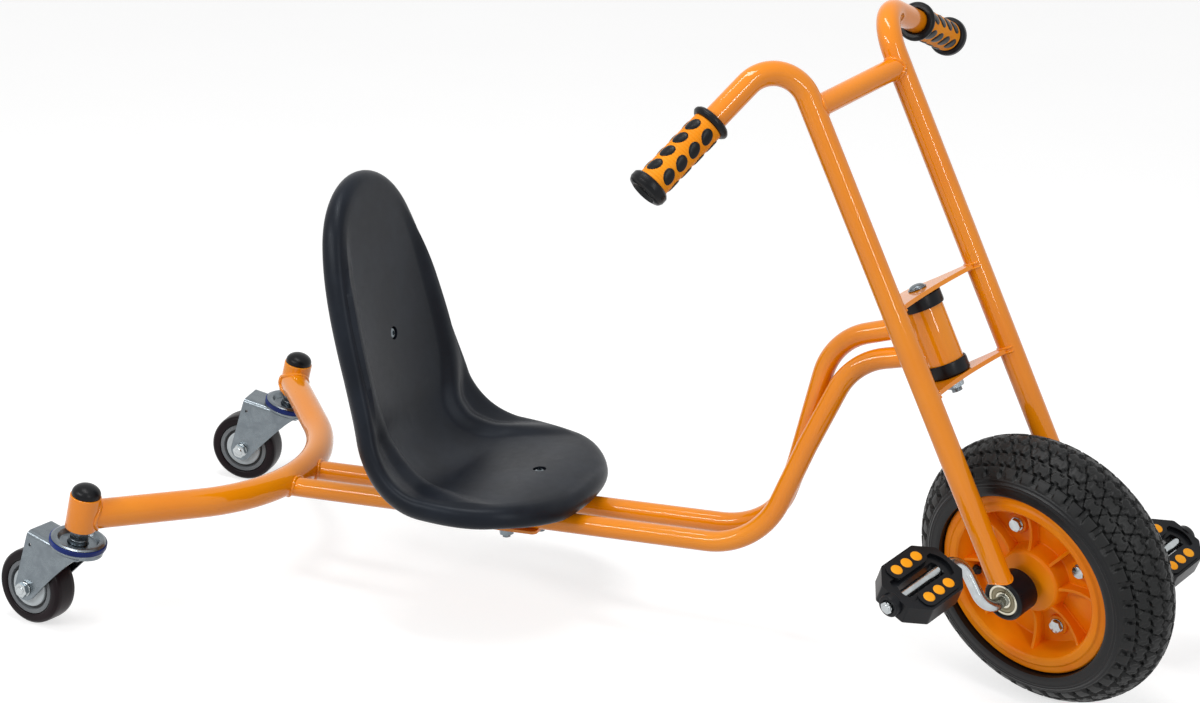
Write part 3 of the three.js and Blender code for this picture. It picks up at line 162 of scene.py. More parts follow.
# Forms: each is its points and its faces
MERGE_UNDER, SLIVER_UNDER = 0.001, 0.0005


def skin(rows, wrap=False):
    """Faces over rows of points that each close on themselves"""
    rows = np.asarray(rows, float)
    n, m = rows.shape[:2]
    i = np.arange(n if wrap else n - 1)[:, None]
    j = np.arange(m)[None]
    after, beside = (i + 1) % n, (j + 1) % m
    faces = np.stack([i * m + j, i * m + beside, after * m + beside, after * m + j], -1)
    return rows.reshape(-1, 3), faces.reshape(-1, 4).tolist()


def loft(rows):
    """A closed body through rings of points, its two ends filled"""
    rows = np.asarray(rows, float)
    ends = [np.repeat(rows[k].mean(0)[None], rows.shape[1], 0) for k in (0, -1)]
    return skin(np.concatenate([ends[:1], rows, ends[1:]]))


def lathe(profile, sides=64):
    """A profile of radius and height, turned about Z"""
    profile = np.array(profile, float)
    t = np.linspace(0, TURN, sides, endpoint=False)
    r, h = profile[:, :1], profile[:, 1:]
    rows = np.stack([r * np.cos(t), r * np.sin(t), h + 0 * t], -1)
    return skin(rows, wrap=not (r[0] == 0 and r[-1] == 0))


def turned(profile, radius=0.8, sides=64):
    """A turned piece with its corners softened"""
    profile = np.array(profile, float)
    on_axis = profile[0, 0] == 0 and profile[-1, 0] == 0
    return lathe(rounded(profile, radius, closed=not on_axis, limit=0.49, step=22), sides)


def disc(radius, low, high, soft=0.5, sides=48):
    return turned([[0, low], [radius, low], [radius, high], [0, high]], soft, sides)


def hexagon(across, low, high):
    """A chamfered hexagon, as bolt heads and nuts have"""
    t = np.linspace(0, TURN, 48, endpoint=False)
    flat = across / 2
    reach = flat / np.cos((t % (TURN / 6)) - TURN / 12)
    drop = (reach - flat) * math.tan(math.radians(30))
    levels = [(0 * reach, low + 0 * drop), (flat * 0.96 + 0 * reach, low + 0 * drop), (reach, low + drop),
              (reach, high - drop), (flat * 0.96 + 0 * reach, high + 0 * drop), (0 * reach, high + 0 * drop)]
    return skin([np.stack([r * np.cos(t), r * np.sin(t), h], -1) for r, h in levels])


THREAD_PITCH, THREAD_DEEP = 1.25, 0.28


def thread(radius, low, high):
    """A bolt's end with its thread's ridges and a chamfered tip"""
    h = np.linspace(low, high - 0.6, max(6, int((high - low) / THREAD_PITCH * 6)))
    ridge = radius - THREAD_DEEP * (0.5 - 0.5 * np.cos(h / THREAD_PITCH * TURN))
    profile = [(0, low), *zip(ridge, h), (radius - 0.9, high), (0, high)]
    return lathe(profile, 24)


def sweep(line, radius, sides=40, wall=0.0, start=None, end=None, closed=False, hint=None):
    """A round bar or tube along a line; start and end shape its ends to what they meet"""
    line = np.asarray(line, float)
    ways = headings(line, closed)
    radius = np.broadcast_to(np.asarray(radius, float), len(line))
    side = np.cross(ways[0], (0.31, 0.87, 0.38))
    first = []
    for k, way in enumerate(ways):
        side = hint[k] if hint is not None else side
        side = unit(side - way * (side @ way))
        first.append(side)
    first = np.array(first)
    second = np.cross(ways, first)
    t = np.linspace(0, TURN, sides, endpoint=False)[:, None]
    round_ = first[:, None] * np.cos(t) + second[:, None] * np.sin(t)

    def rings(r):
        rows = line[:, None] + r[:, None, None] * round_
        if start:
            rows[0] = start(rows[0], ways[0])
        if end:
            rows[-1] = end(rows[-1], -ways[-1])
        return rows
    if closed:
        return skin(rings(radius), wrap=True)
    if wall:
        return skin(np.concatenate([rings(radius), rings(radius - wall)[::-1]]), wrap=True)
    return loft(rings(radius))


def against(place, radius):
    """The end of a tube that meets a round one of this radius about a place's Z axis"""
    back = np.array(place.inverted())

    def cut(points, way):
        p = put(points, back)[:, :2]
        d = (back[:3, :3] @ way)[:2]
        a, b = d @ d, p @ d
        c = (p * p).sum(1) - radius ** 2
        t = (-b + np.sqrt(np.maximum(b * b - a * c, 0))) / a
        return points + t[:, None] * way
    return cut


def bead(ring, outward, size=1.9, closed=True):
    """A weld bead laid along a line, with the ripple of its passes"""
    count = len(ring)
    length = np.r_[0, np.cumsum(np.linalg.norm(np.diff(ring, axis=0), axis=1))]
    ripple = 1 + 0.07 * np.sin(length / 2.1 * TURN / 2) + chance.uniform(-0.05, 0.05, count)
    if not closed:
        ripple = ripple * np.minimum(1, 0.35 + np.minimum(length, length[-1] - length) / 3)
    return sweep(ring, size * ripple, 10, closed=closed, hint=outward)


def seam(line, radius, cut, size=1.9):
    """The weld bead where a tube's first end meets another piece"""
    line = np.asarray(line, float)
    way = unit(line[1] - line[0])
    a = unit(np.cross(way, (0.31, 0.87, 0.38)))
    t = np.linspace(0, TURN, 72, endpoint=False)[:, None]
    out = a * np.cos(t) + np.cross(way, a) * np.sin(t)
    return bead(cut(line[0] + radius * out, way), out, size)


def plate(outline, low, high, holes=()):
    """A flat piece cut to an outline, with holes through it"""
    shape = bpy.data.curves.new("outline", "CURVE")
    shape.dimensions, shape.fill_mode, shape.extrude = "2D", "BOTH", (high - low) / 2
    for loop in [outline, *holes]:
        spline = shape.splines.new("POLY")
        spline.points.add(len(loop) - 1)
        for point, (x, y) in zip(spline.points, loop):
            point.co = (x, y, 0, 1)
        spline.use_cyclic_u = True
    return taken(bpy.data.objects.new("outline", shape), (0, 0, (low + high) / 2))


def taken(maker, shift=(0, 0, 0)):
    """The finished mesh of a helper object, as a form; the helper is removed"""
    bpy.context.scene.collection.objects.link(maker)
    bpy.context.view_layer.update()
    mesh = bpy.data.meshes.new_from_object(maker.evaluated_get(bpy.context.evaluated_depsgraph_get()))
    points = np.array([v.co for v in mesh.vertices], float).reshape(-1, 3) + shift
    faces = [list(p.vertices) for p in mesh.polygons]
    bpy.data.objects.remove(maker)
    bpy.data.meshes.remove(mesh)
    return points, faces


def mesh_of(name, forms):
    points, faces, count = [], [], 0
    for form_points, form_faces in forms:
        points.append(form_points)
        faces += [[i + count for i in face] for face in form_faces]
        count += len(form_points)
    mesh = bpy.data.meshes.new(name)
    mesh.from_pydata(np.concatenate(points).tolist(), [], faces)
    work = bmesh.new()
    work.from_mesh(mesh)
    bmesh.ops.remove_doubles(work, verts=work.verts, dist=MERGE_UNDER)
    bmesh.ops.dissolve_degenerate(work, dist=SLIVER_UNDER, edges=work.edges)
    bmesh.ops.recalc_face_normals(work, faces=work.faces)
    work.to_mesh(mesh)
    work.free()
    return mesh


def carved(form, *cutters):
    """A form with others cut out of it"""
    maker = bpy.data.objects.new("blank", mesh_of("blank", [form]))
    tools = []
    for cutter in cutters:
        tool = bpy.data.objects.new("cutter", mesh_of("cutter", [cutter]))
        bpy.context.scene.collection.objects.link(tool)
        cut = maker.modifiers.new("cut", "BOOLEAN")
        cut.operation, cut.object, cut.solver = "DIFFERENCE", tool, "EXACT"
        tools.append(tool)
    form = taken(maker)
    for tool in tools:
        bpy.data.objects.remove(tool)
    return form


def placed(form, place):
    return put(form[0], place), form[1]


def make(name, body, look, forms, place=Matrix(), nodes=(), edge=0.0, crease=38):
    """One piece of the trike, riding on its body"""
    mesh = mesh_of(name, forms)
    mesh.transform(Matrix.Scale(MILLIMETRE, 4) @ PART @ place)
    mesh.shade_smooth()
    mesh.set_sharp_from_angle(angle=math.radians(crease))
    mesh.materials.append(look.material)
    piece = bpy.data.objects.new(name, mesh)
    bpy.context.scene.collection.objects.link(piece)
    if edge:
        bevel = piece.modifiers.new("edge", "BEVEL")
        bevel.width, bevel.segments, bevel.limit_method = edge * MILLIMETRE, 2, "ANGLE"
        bevel.angle_limit, bevel.harden_normals = math.radians(32), True
    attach(piece, body)
    if nodes:
        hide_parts(*nodes)
    return piece


# Finishes
def shade(code):
    """A colour written as on screen, for a shader"""
    parts = [int(code[k:k + 2], 16) / 255 for k in (0, 2, 4)]
    return (*(c / 12.92 if c <= 0.04045 else ((c + 0.055) / 1.055) ** 2.4 for c in parts), 1.0)


class Wire:
    """A socket's value, which takes part in Python sums"""

    def __init__(self, look, socket):
        self.look, self.socket = look, socket

    def sum(self, operation, first, second):
        return self.look.node("ShaderNodeMath", {"operation": operation}, {0: first, 1: second})

    def __add__(self, other):
        return self.sum("ADD", self, other)

    def __sub__(self, other):
        return self.sum("SUBTRACT", self, other)

    def __rsub__(self, other):
        return self.sum("SUBTRACT", other, self)

    def __mul__(self, other):
        return self.sum("MULTIPLY", self, other)

    __radd__, __rmul__ = __add__, __mul__


class Nodes:
    """The nodes of a material or a world, cleared, and the one way in which they are made"""

    def __init__(self, owner):
        owner.use_nodes = True
        self.tree = owner.node_tree
        self.tree.nodes.clear()

    def node(self, kind, settings=None, sockets=None, out=0):
        made = self.tree.nodes.new(kind)
        for key, value in (settings or {}).items():
            setattr(made, key, value)
        self.feed(made, sockets or {})
        return Wire(self, made.outputs[out]) if made.outputs else None

    def feed(self, node, sockets):
        for key, value in sockets.items():
            if isinstance(value, Wire):
                self.tree.links.new(value.socket, node.inputs[key])
            else:
                node.inputs[key].default_value = value

    def surroundings(self):
        """1 for rays that see the white surroundings: the camera's, mirrored ones and those through glass"""
        camera, mirrored, through = (self.node("ShaderNodeLightPath", out=f"Is {kind} Ray")
                                     for kind in ("Camera", "Glossy", "Transmission"))
        return camera + mirrored + through


class Look(Nodes):
    """One finish: a node material and the slot it belongs to"""

    def __init__(self, name, slot, **settings):
        self.material = bpy.data.materials.new(name)
        super().__init__(self.material)
        self.slot = slot
        result = self.node("ShaderNodeBsdfPrincipled")
        self.shader = result.socket.node
        self.node("ShaderNodeOutputMaterial", None, {"Surface": result})
        self.surface(**settings)
        self.place = self.node("ShaderNodeTexCoord", out="Object")

    def surface(self, **sockets):
        self.feed(self.shader, {key.replace("_", " "): value for key, value in sockets.items()})

    def noise(self, scale, detail=3.0, rough=0.55, warp=0.0):
        return self.node("ShaderNodeTexNoise", None, {
            "Vector": self.place, "Scale": scale, "Detail": detail, "Roughness": rough, "Distortion": warp})

    def cells(self, scale):
        return self.node("ShaderNodeTexVoronoi", {"feature": "F1"}, {"Vector": self.place, "Scale": scale},
                         "Distance")

    def band(self, value, low, high):
        """0 below low, 1 above high, and a smooth step between"""
        return self.node("ShaderNodeMapRange", {"interpolation_type": "SMOOTHSTEP"}, {
            "Value": value, "From Min": low, "From Max": high, "To Min": 0.0, "To Max": 1.0})

    def tint(self, share, first, second):
        return self.node("ShaderNodeMix", {"data_type": "RGBA"}, {0: share, 6: first, 7: second}, 2)

    def bump(self, height, strength, depth):
        return self.node("ShaderNodeBump", None, {"Height": height, "Strength": strength, "Distance": depth})


def powder_coat():
    """Glossy orange paint: a slow drift of tone, faint scuffs and orange peel"""
    look = Look("orange_powder_coat", "orange_paint", Coat_Weight=0.8, Coat_Roughness=0.04,
                Specular_IOR_Level=0.04)
    drift = look.noise(7.0, 2.0)
    scuff = look.band(look.noise(46.0, 6.0, 0.68, 0.4), 0.62, 0.74)
    tone = look.tint(look.band(drift, 0.3, 0.7), shade("ee8804"), shade("f3920a"))
    peel = look.noise(420.0, 2.0)
    look.surface(Base_Color=look.tint(scuff * 0.10, tone, shade("cf6f05")),
                 Roughness=0.25 + look.noise(60.0) * 0.08 + scuff * 0.12,
                 Normal=look.bump(peel, 0.11, 0.0006))
    return look


def moulded(name, slot, first, second, rough, grain=900.0, depth=0.10, **settings):
    """Moulded plastic: a little mottled, with a fine grain and faint rubbed places"""
    look = Look(name, slot, **settings)
    mottle = look.band(look.noise(22.0, 4.0), 0.35, 0.68)
    rubbed = look.band(look.noise(70.0, 7.0, 0.7, 0.8), 0.58, 0.72)
    tone = look.tint(mottle, shade(first), shade(second))
    look.surface(Base_Color=look.tint(rubbed * 0.12, tone, shade(second)),
                 Roughness=rough + look.noise(130.0) * 0.10 - rubbed * 0.06,
                 Normal=look.bump(look.noise(grain, 3.0, 0.6), depth, 0.0005))
    return look


def rubber_grain(look):
    return look.bump(look.noise(1300.0, 3.0, 0.7), 0.22, 0.0004)


def rubber(name, slot, first, second, rough):
    """Plain rubber with a grey bloom and light specks"""
    look = Look(name, slot, Specular_IOR_Level=0.25)
    bloom = look.band(look.noise(30.0, 6.0, 0.65), 0.42, 0.70)
    speck = look.band(look.noise(520.0, 4.0, 0.7), 0.62, 0.78)
    tone = look.tint(bloom * 0.75, shade(first), shade(second))
    look.surface(Base_Color=look.tint(speck * 0.35, tone, shade("3d3a30")),
                 Roughness=rough + look.noise(90.0, 5.0) * 0.18 - 0.09, Normal=rubber_grain(look))
    return look


# Where the smooth sidewall gives way to the tread, in metres from the axle
TREAD_FROM, TREAD_FULL = 0.1035, 0.1070


def tread_rubber():
    """Tyre rubber: a smooth dark sidewall, and a dull, dusty tread beyond it"""
    look = Look("tyre_rubber", "tyre_rubber", Specular_IOR_Level=0.26)
    wheel = PART @ WHEEL
    middle, axle = wheel.translation * MILLIMETRE, wheel.col[1].xyz
    spoke = look.node("ShaderNodeVectorMath", {"operation": "SUBTRACT"}, {0: look.place, 1: middle})
    across = look.node("ShaderNodeVectorMath", {"operation": "CROSS_PRODUCT"}, {0: spoke, 1: axle})
    out = look.node("ShaderNodeVectorMath", {"operation": "LENGTH"}, {0: across}, "Value")
    tread = look.band(out, TREAD_FROM, TREAD_FULL)
    dust = look.band(look.noise(30.0, 6.0, 0.65), 0.42, 0.70)
    wall = look.tint(dust * 0.4, shade("0b0c0e"), shade("131518"))
    top = look.tint(dust * 0.8, shade("0c0d0e"), shade("191a1a"))
    look.surface(Base_Color=look.tint(tread, wall, top),
                 Roughness=0.33 + tread * 0.10 + look.noise(90.0, 5.0) * 0.14 - 0.07,
                 Normal=rubber_grain(look))
    return look


def plated(name, slot, first, second, rough, grain=0.35):
    """Zinc plate: cloudy crystal patches over a faint drawn grain"""
    look = Look(name, slot, Metallic=1.0)
    cloud = look.noise(85.0, 5.0, 0.6, 0.6)
    flake = look.cells(210.0)
    tone = look.tint(look.band(cloud, 0.30, 0.72) * 0.7, shade(first), shade(second))
    look.surface(Base_Color=look.tint(look.band(flake, 0.1, 0.9) * 0.2, tone, shade(second)),
                 Roughness=rough + cloud * 0.16 - 0.06,
                 Normal=look.bump(look.noise(700.0, 4.0, 0.7), grain, 0.0003))
    return look


orange_paint = powder_coat()
orange_plastic = moulded("orange_rim_plastic", "rim_plastic", "f38200", "f79008", 0.30, 520.0, 0.06,
                         Specular_IOR_Level=0.2)
orange_rubber = moulded("orange_grip_rubber", "grip_rubber", "f08f08", "f69a12", 0.46, 1100.0, 0.16,
                       Specular_IOR_Level=0.2)
black_plastic = moulded("black_moulded_plastic", "black_plastic", "08090c", "111317", 0.28, 760.0, 0.09,
                       Specular_IOR_Level=0.18)
black_coat = moulded("black_bracket_paint", "black_paint", "121316", "1e2024", 0.34, 420.0, 0.10,
                     Specular_IOR_Level=0.25)
seat_skin = moulded("seat_grained_plastic", "seat_plastic", "10131a", "181c24", 0.33, 1500.0, 0.16,
                   Specular_IOR_Level=0.16, Specular_Tint=(0.86, 0.93, 1.0, 1.0))
tyre_rubber = tread_rubber()
tube_rubber = rubber("inner_tube_rubber", "tube_rubber", "131314", "202021", 0.55)
zinc = plated("zinc_plate", "zinc_steel", "7d858a", "697076", 0.26, 0.25)
bearing_steel = plated("bearing_steel", "bearing_steel", "d9d6c6", "b4ad97", 0.20, 0.15)
bearing_shield = plated("bearing_shield", "bearing_steel", "77705c", "8d866f", 0.30, 0.15)
bright_zinc = plated("bright_zinc_plate", "zinc_steel", "bfc4c6", "a2a8aa", 0.20, 0.12)
stud_plastic = moulded("yellow_stud_plastic", "rim_plastic", "f8a010", "fbab22", 0.40, 520.0, 0.06,
                       Specular_IOR_Level=0.2)
blue_seal = moulded("blue_seal_plastic", "seal_plastic", "0a1f5c", "122d78", 0.36,
                   Specular_IOR_Level=0.2)
tread_plastic = moulded("maroon_tread", "castor_tread", "0d0408", "17080f", 0.28, 600.0, 0.06,
                        Specular_IOR_Level=0.15)
core_grey = moulded("castor_core_grey", "castor_core", "62666a", "767a7d", 0.46)
# Near black, for a ring on the floor of the groove between cap and hub: painted shade
core_groove_shade = moulded("castor_core_painted_groove_shade", "castor_core", "141517", "1f2022", 0.5)
core_pale = moulded("castor_core_cap", "castor_core", "b3bbbf", "c8cfd2", 0.36)


# Main frame
bow_y = BOW_BEND * math.tan(math.radians(BOW_SWEEP / 2)) + 0.3
bow_fall = math.tan(math.radians(BOW_FALL))


def on_bow(x, y):
    return (x, y, BOW_Z + bow_fall * (BOW_X - x))


bow_end = BOW_X - math.tan(math.radians(BOW_SWEEP)) * (SOCKET_Y - bow_y)
# The bends are a little tighter than drawn, so that their two arcs don't overlap
bow_line = rounded([on_bow(bow_end, -SOCKET_Y), on_bow(BOW_X, -bow_y), on_bow(BOW_X, bow_y),
                    on_bow(bow_end, SOCKET_Y)], [BOW_BEND - 0.8, BOW_BEND - 0.8], step=3)
SLEEVE_R, SLEEVE_BITE, TUBE_BITE, LEG_BITE = 15.0, 2.5, 0.9, 0.8
inside = {side: against(SOCKET[side], SLEEVE_R - SLEEVE_BITE) for side in SIDES}
onto = {side: against(SOCKET[side], SLEEVE_R) for side in SIDES}
sleeve = turned([[8.6, 15], [SLEEVE_R, 15], [SLEEVE_R, 49.9], [8.6, 49.9]], 0.9)
make("rear_bow_tube", "main_frame", orange_paint, [
    sweep(bow_line, BOW_R, 56, BOW_WALL, inside["right"], inside["left"]),
    seam(bow_line, BOW_R, onto["right"], 2.2), seam(bow_line[::-1], BOW_R, onto["left"], 2.2),
    *(placed(sleeve, SOCKET[side]) for side in SIDES)], nodes=["rear_bow"])


def tube_z(x):
    return TUBE_START_Z + math.tan(math.radians(TUBE_CLIMB)) * (x - TUBE_START_X)


def on_tubes(x, y):
    return move(x, y, tube_z(x)) @ turn("Y", -TUBE_CLIMB)


# The front rise of each tube: knee x; gather x, y, z; top x, y; and drops below the head's middle
RISE = {
    "right": (74.3, 115, 13.8, 216.8, 151.2, 1.7, 34.9, 17.3),
    "left": (72.8, 100.5, 2.2, 186.6, 128, 12, 20.8, -9.6),
}
for side, s in SIDES.items():
    knee_x, gather_x, gather_y, gather_z, top_x, top_y, top_drop, end_drop = RISE[side]
    end_z = HEAD_MID_Z - end_drop
    end_x = HEAD_X - math.tan(math.radians(RAKE)) * (end_z - HEAD_Z)
    line = rounded([(TUBE_START_X, s * TUBE_Y, tube_z(TUBE_START_X)), (knee_x, s * TUBE_Y, tube_z(knee_x)),
                    (gather_x, s * gather_y, gather_z), (top_x, s * top_y, HEAD_MID_Z - top_drop),
                    (end_x, 0, end_z)], [76, 75, 60], step=4)
    near = np.argmin(np.linalg.norm(bow_line - line[0], axis=1))
    around_bow = along(bow_line[near], headings(bow_line)[near])
    make(side + "_frame_rail", "main_frame", orange_paint, [
        sweep(line, RAIL_R, 44, RAIL_WALL, against(around_bow, BOW_R - TUBE_BITE),
              against(HEAD, HEAD_TUBE_R - TUBE_BITE)),
        seam(line, RAIL_R, against(around_bow, BOW_R), 2.0),
        seam(line[::-1], RAIL_R, against(HEAD, HEAD_TUBE_R), 1.9)], nodes=[side + "_frame_tube"])

make("head_barrel", "main_frame", orange_paint, [turned([
    [HEAD_TUBE_R - HEAD_TUBE_WALL, HEAD_LOW], [HEAD_TUBE_R, HEAD_LOW], [HEAD_TUBE_R, HEAD_HIGH],
    [HEAD_TUBE_R - HEAD_TUBE_WALL, HEAD_HIGH]], 0.6)], HEAD, ["head_tube"])
cup = turned([[5.4, -12], [13.9, -12], [13.9, 0.3], [17.1, 0.3], [17.1, -9.6], [18.6, -9.6], [19, -7.5],
              [19, 2.0], [17.4, 3.4], [5.4, 3.4]], 0.8)
make("upper_head_cup", "main_frame", black_plastic, [cup], HEAD @ move(z=HEAD_HIGH), ["upper_bearing_cup"])
make("lower_head_cup", "main_frame", black_plastic, [cup], HEAD @ move(z=HEAD_LOW) @ turn("X", 180),
     ["lower_bearing_cup"])

for side in SIDES:
    rim_at = 50.2
    dome = [(13.9 * math.cos(a), rim_at + 1.6 + 9.4 * math.sin(a))
            for a in np.linspace(0, TURN / 4, 12)]
    make(side + "_dome_plug", "main_frame", black_plastic, [lathe([
        (0, 43.2), (8.2, 43.2), (8.2, rim_at - 0.2), (13.2, rim_at - 0.2), (13.8, rim_at), *dome[:-1],
        (0, rim_at + 11)], 48)], SOCKET[side], [side + "_socket_plug"], crease=50)
    make(side + "_swivel_stem", "main_frame", zinc, [
        disc(8.2, 4, 42.6), hexagon(17, 4.2, 14.7),
        turned([[0, -6.4], [7, -6.4], [9.4, -3.4], [9.4, 4.6], [0, 4.6]], 0.8, 48)],
        SOCKET[side], [side + "_castor_stem"])


# Fork and handlebar
axle_across = move(AXLE_LEAD) @ turn("X", 90)
HOUSING_R = 20.0
bar_frames = {}
for side, s in SIDES.items():
    out = np.array([-math.sin(LEG_SWEEP), s * math.cos(LEG_SWEEP), 0])
    corner = np.array([LEG_X, s * LEG_Y, LEG_TOP + LEG_BEND * math.tan(LEG_TURN / 2)])
    way = out * math.sin(LEG_TURN) + (0, 0, math.cos(LEG_TURN))
    foot = math.sqrt(HOUSING_R ** 2 - (LEG_X - AXLE_LEAD) ** 2) / 2
    end = corner + way * (LEG_BEND * math.tan(LEG_TURN / 2) + BAR_LONG)
    line = rounded([(LEG_X, s * LEG_Y, foot), corner, end], [LEG_BEND], step=4)
    bar_frames[side] = FORK @ along(end - way * BAR_LONG, way)
    forms = [sweep(line, LEG_R, 48, LEG_WALL, against(axle_across, HOUSING_R - LEG_BITE)),
             seam(line, LEG_R, against(axle_across, HOUSING_R - 0.3), 0.7)]
    make(side + "_fork_leg", "fork", orange_paint, forms, FORK, [side + "_fork_tube"])

legs = {side: move(LEG_X, s * LEG_Y, 0) for side, s in SIDES.items()}
BRACE_R, BRACE_AT = 10.0, 466.0
brace_line = np.linspace((LEG_X, -LEG_Y, BRACE_AT), (LEG_X, LEG_Y, BRACE_AT), 6)
make("handlebar_brace", "fork", orange_paint, [
    sweep(brace_line, BRACE_R, 44, BRACE_WALL, against(legs["right"], LEG_R - LEG_BITE),
          against(legs["left"], LEG_R - LEG_BITE)),
    seam(brace_line, BRACE_R, against(legs["right"], LEG_R), 1.8),
    seam(brace_line[::-1], BRACE_R, against(legs["left"], LEG_R), 1.8)], FORK, ["crossbar"])

EYE_R, FLANK, WAIST = 20.0, math.radians(45), 0.55
TAB_HALF, TAB_FRONT, PLATE_THICK, PLATE_GAP = 9.0, 4.5, 4.0, 3.7
waist_y = LEG_Y * WAIST
tab_y = LEG_Y - 6.5
outline = np.vstack([
    curved((LEG_X - TAB_HALF, tab_y), (LEG_X * WAIST - TAB_HALF, waist_y),
           (-EYE_R * math.cos(FLANK), EYE_R * math.sin(FLANK)), 14),
    arc((0, 0), EYE_R, 135, 225, 20)[1:-1],
    curved((-EYE_R * math.cos(FLANK), -EYE_R * math.sin(FLANK)), (LEG_X * WAIST - TAB_HALF, -waist_y),
           (LEG_X - TAB_HALF, -tab_y), 14),
    curved((LEG_X + TAB_FRONT, -tab_y), (LEG_X * WAIST + TAB_HALF, -waist_y), (EYE_R, 0), 14),
    curved((EYE_R, 0), (LEG_X * WAIST + TAB_HALF, waist_y), (LEG_X + TAB_FRONT, tab_y), 14)[1:]])
for name, node, low in [("upper_steering_plate", "upper_fork_plate", HEAD_HIGH + PLATE_GAP),
                        ("lower_steering_plate", "lower_fork_plate", HEAD_LOW - PLATE_GAP - PLATE_THICK)]:
    forms = [plate(outline, low, low + PLATE_THICK, [arc((0, 0), 5.4, 0, 345, 24)])]
    for side, s in SIDES.items():
        for level in (low, low + PLATE_THICK):
            around = np.radians(np.linspace(205, 325, 26)) * s
            out = np.stack([np.cos(around), np.sin(around), 0 * around], -1)
            forms.append(bead(np.array([LEG_X, s * LEG_Y, level]) + LEG_R * out, out, 1.3, closed=False))
    make(name, "fork", orange_paint, forms, FORK, [node], edge=0.5)

bolt_top = HEAD_HIGH + PLATE_GAP + PLATE_THICK + 0.3
bolt_foot = HEAD_LOW - PLATE_GAP - PLATE_THICK - 0.3
make("steering_pivot_bolt", "fork", zinc, [
    disc(5, bolt_foot - 8, bolt_top + 1), disc(8.6, bolt_top, bolt_top + 1.3),
    lathe([(0, bolt_top + 1), *((7.2 * math.cos(a), bolt_top + 1.4 + 3.2 * math.sin(a))
                                for a in np.linspace(0, TURN / 4, 10)[:-1]), (0, bolt_top + 4.6)], 48),
    disc(10, bolt_foot - 1.6, bolt_foot), hexagon(15, bolt_foot - 8, bolt_foot - 1.5),
    thread(5, bolt_foot - 12, bolt_foot - 7)], FORK, ["steering_bolt"])


# Each grip's first row of studs, in degrees round it, and the studs' slant
STUD_START = {"left": (174, 140), "right": (-15, 40)}
SLEEVE_LOW, SLEEVE_HIGH, SLEEVE_LONG, COVER_R = 50.3, 119.2, 68.9, 14.3


def studs(start, tilt):
    """Oval grip studs, domed and laid on the sleeve"""
    rows, per_row, pitch, half_long, half_across, rise = 5, 4, 15.8, 7.5, 5.4, 0.9
    forms = []
    t = np.linspace(0, TURN, 28, endpoint=False)
    shares = [(1.0, -1.6), (1.0, 0.1), (0.94, 0.55), (0.8, 0.82), (0.5, 0.97), (0.2, 1.0)]
    for row in range(rows):
        lean = math.radians(180 - tilt if row % 2 else tilt)
        around = math.radians(start) + row * TURN / rows
        for k in range(per_row):
            middle = (SLEEVE_LOW + SLEEVE_HIGH + (2 * k - per_row + 1) * pitch) / 2
            rings = []
            for share, high in shares:
                a, b = share * half_long * np.cos(t), share * half_across * np.sin(t)
                down = a * math.cos(lean) - b * math.sin(lean)
                over = around + (a * math.sin(lean) + b * math.cos(lean)) / COVER_R
                r = COVER_R + rise * high
                rings.append(np.stack([r * np.cos(over), r * np.sin(over), middle - down], -1))
            forms.append(loft(rings))
    return forms


for side in SIDES:
    make(side + "_grip_body", "fork", black_plastic, [turned([
        [11.6, 43], [16.1, 43], [18.2, 45.4], [18.2, 47.6], [16.1, 50], [12.5, 50], [12.5, 119.5],
        [16.1, 119.5], [18.2, 121.8], [18.2, 126.6], [16.6, 129.6], [12, 131.3], [8.8, 128.1], [0, 128.1],
        [0, 123.3], [11.6, 123.3]], 1.3)], bar_frames[side], [side + "_grip_core"])
    rings = [[12.7, SLEEVE_LOW], [COVER_R, SLEEVE_LOW]]
    for k in range(1, 24):
        at = SLEEVE_LOW + k * SLEEVE_LONG / 24
        rings += [[COVER_R, at - 0.5], [14.0, at], [COVER_R, at + 0.5]]
    rings += [[COVER_R, SLEEVE_HIGH], [12.7, SLEEVE_HIGH]]
    make(side + "_grip_cover", "fork", orange_rubber, [lathe(rings, 56)], bar_frames[side],
         [side + "_grip_sleeve"])
    make(side + "_grip_studs", "fork", black_plastic, studs(*STUD_START[side]), bar_frames[side])

for side, s in SIDES.items():
    outward = WHEEL @ turn("X", -90 * s)
    make(side + "_axle_housing", "fork", black_plastic, [turned([
        [6.5, 38.3], [18.6, 38.3], [20, 39.7], [20, 63.2], [18.2, 65.3], [16.4, 65.3], [15.3, 64.2],
        [15.3, 42.3], [6.5, 42.3]], 0.9, 72)], outward, [side + "_bearing_housing"])
    make(side + "_crank_bearing", "fork", bearing_steel, [
        turned([[12.6, 54.8], [15, 54.8], [15, 63.8], [12.6, 63.8]], 0.5, 72),
        turned([[5.65, 54.8], [7.9, 54.8], [7.9, 63.8], [5.65, 63.8]], 0.5, 72)], outward,
        [side + "_wheel_bearing"])
    make(side + "_bearing_shield", "fork", bearing_shield, [turned([
        [7.9, 56], [12.6, 56], [12.6, 62.9], [11.9, 63.2], [10.2, 62.4], [8.8, 63.1], [7.9, 62.6]],
        0.3, 72)], outward)


# Front tyre: staggered blocks are raised out of a fine grid
def tyre_point(angle, inset):
    up, over = np.cos(angle), np.sin(angle)
    power = 2 / TYRE["power"]
    return (TYRE["core"] + (TYRE["height"] - inset) * np.sign(up) * np.abs(up) ** power,
            (TYRE["half"] - inset) * np.sign(over) * np.abs(over) ** power)


def step_up(value, low, high):
    t = np.clip((value - low) / (high - low), 0, 1)
    return t * t * (3 - 2 * t)


PITCHES, PER_PITCH, TREAD_DEEP, ROW_GAP = 40, 16, 3.2, 13.4
TREAD_ROWS, WALL_ROWS, CROWN_EDGE, TYRE_INSET = 90, 26, 59, 0.52
MOULD_RINGS = (104.4, 101.6, 98.8)
PITCH = TURN * TYRE["radius"] / PITCHES


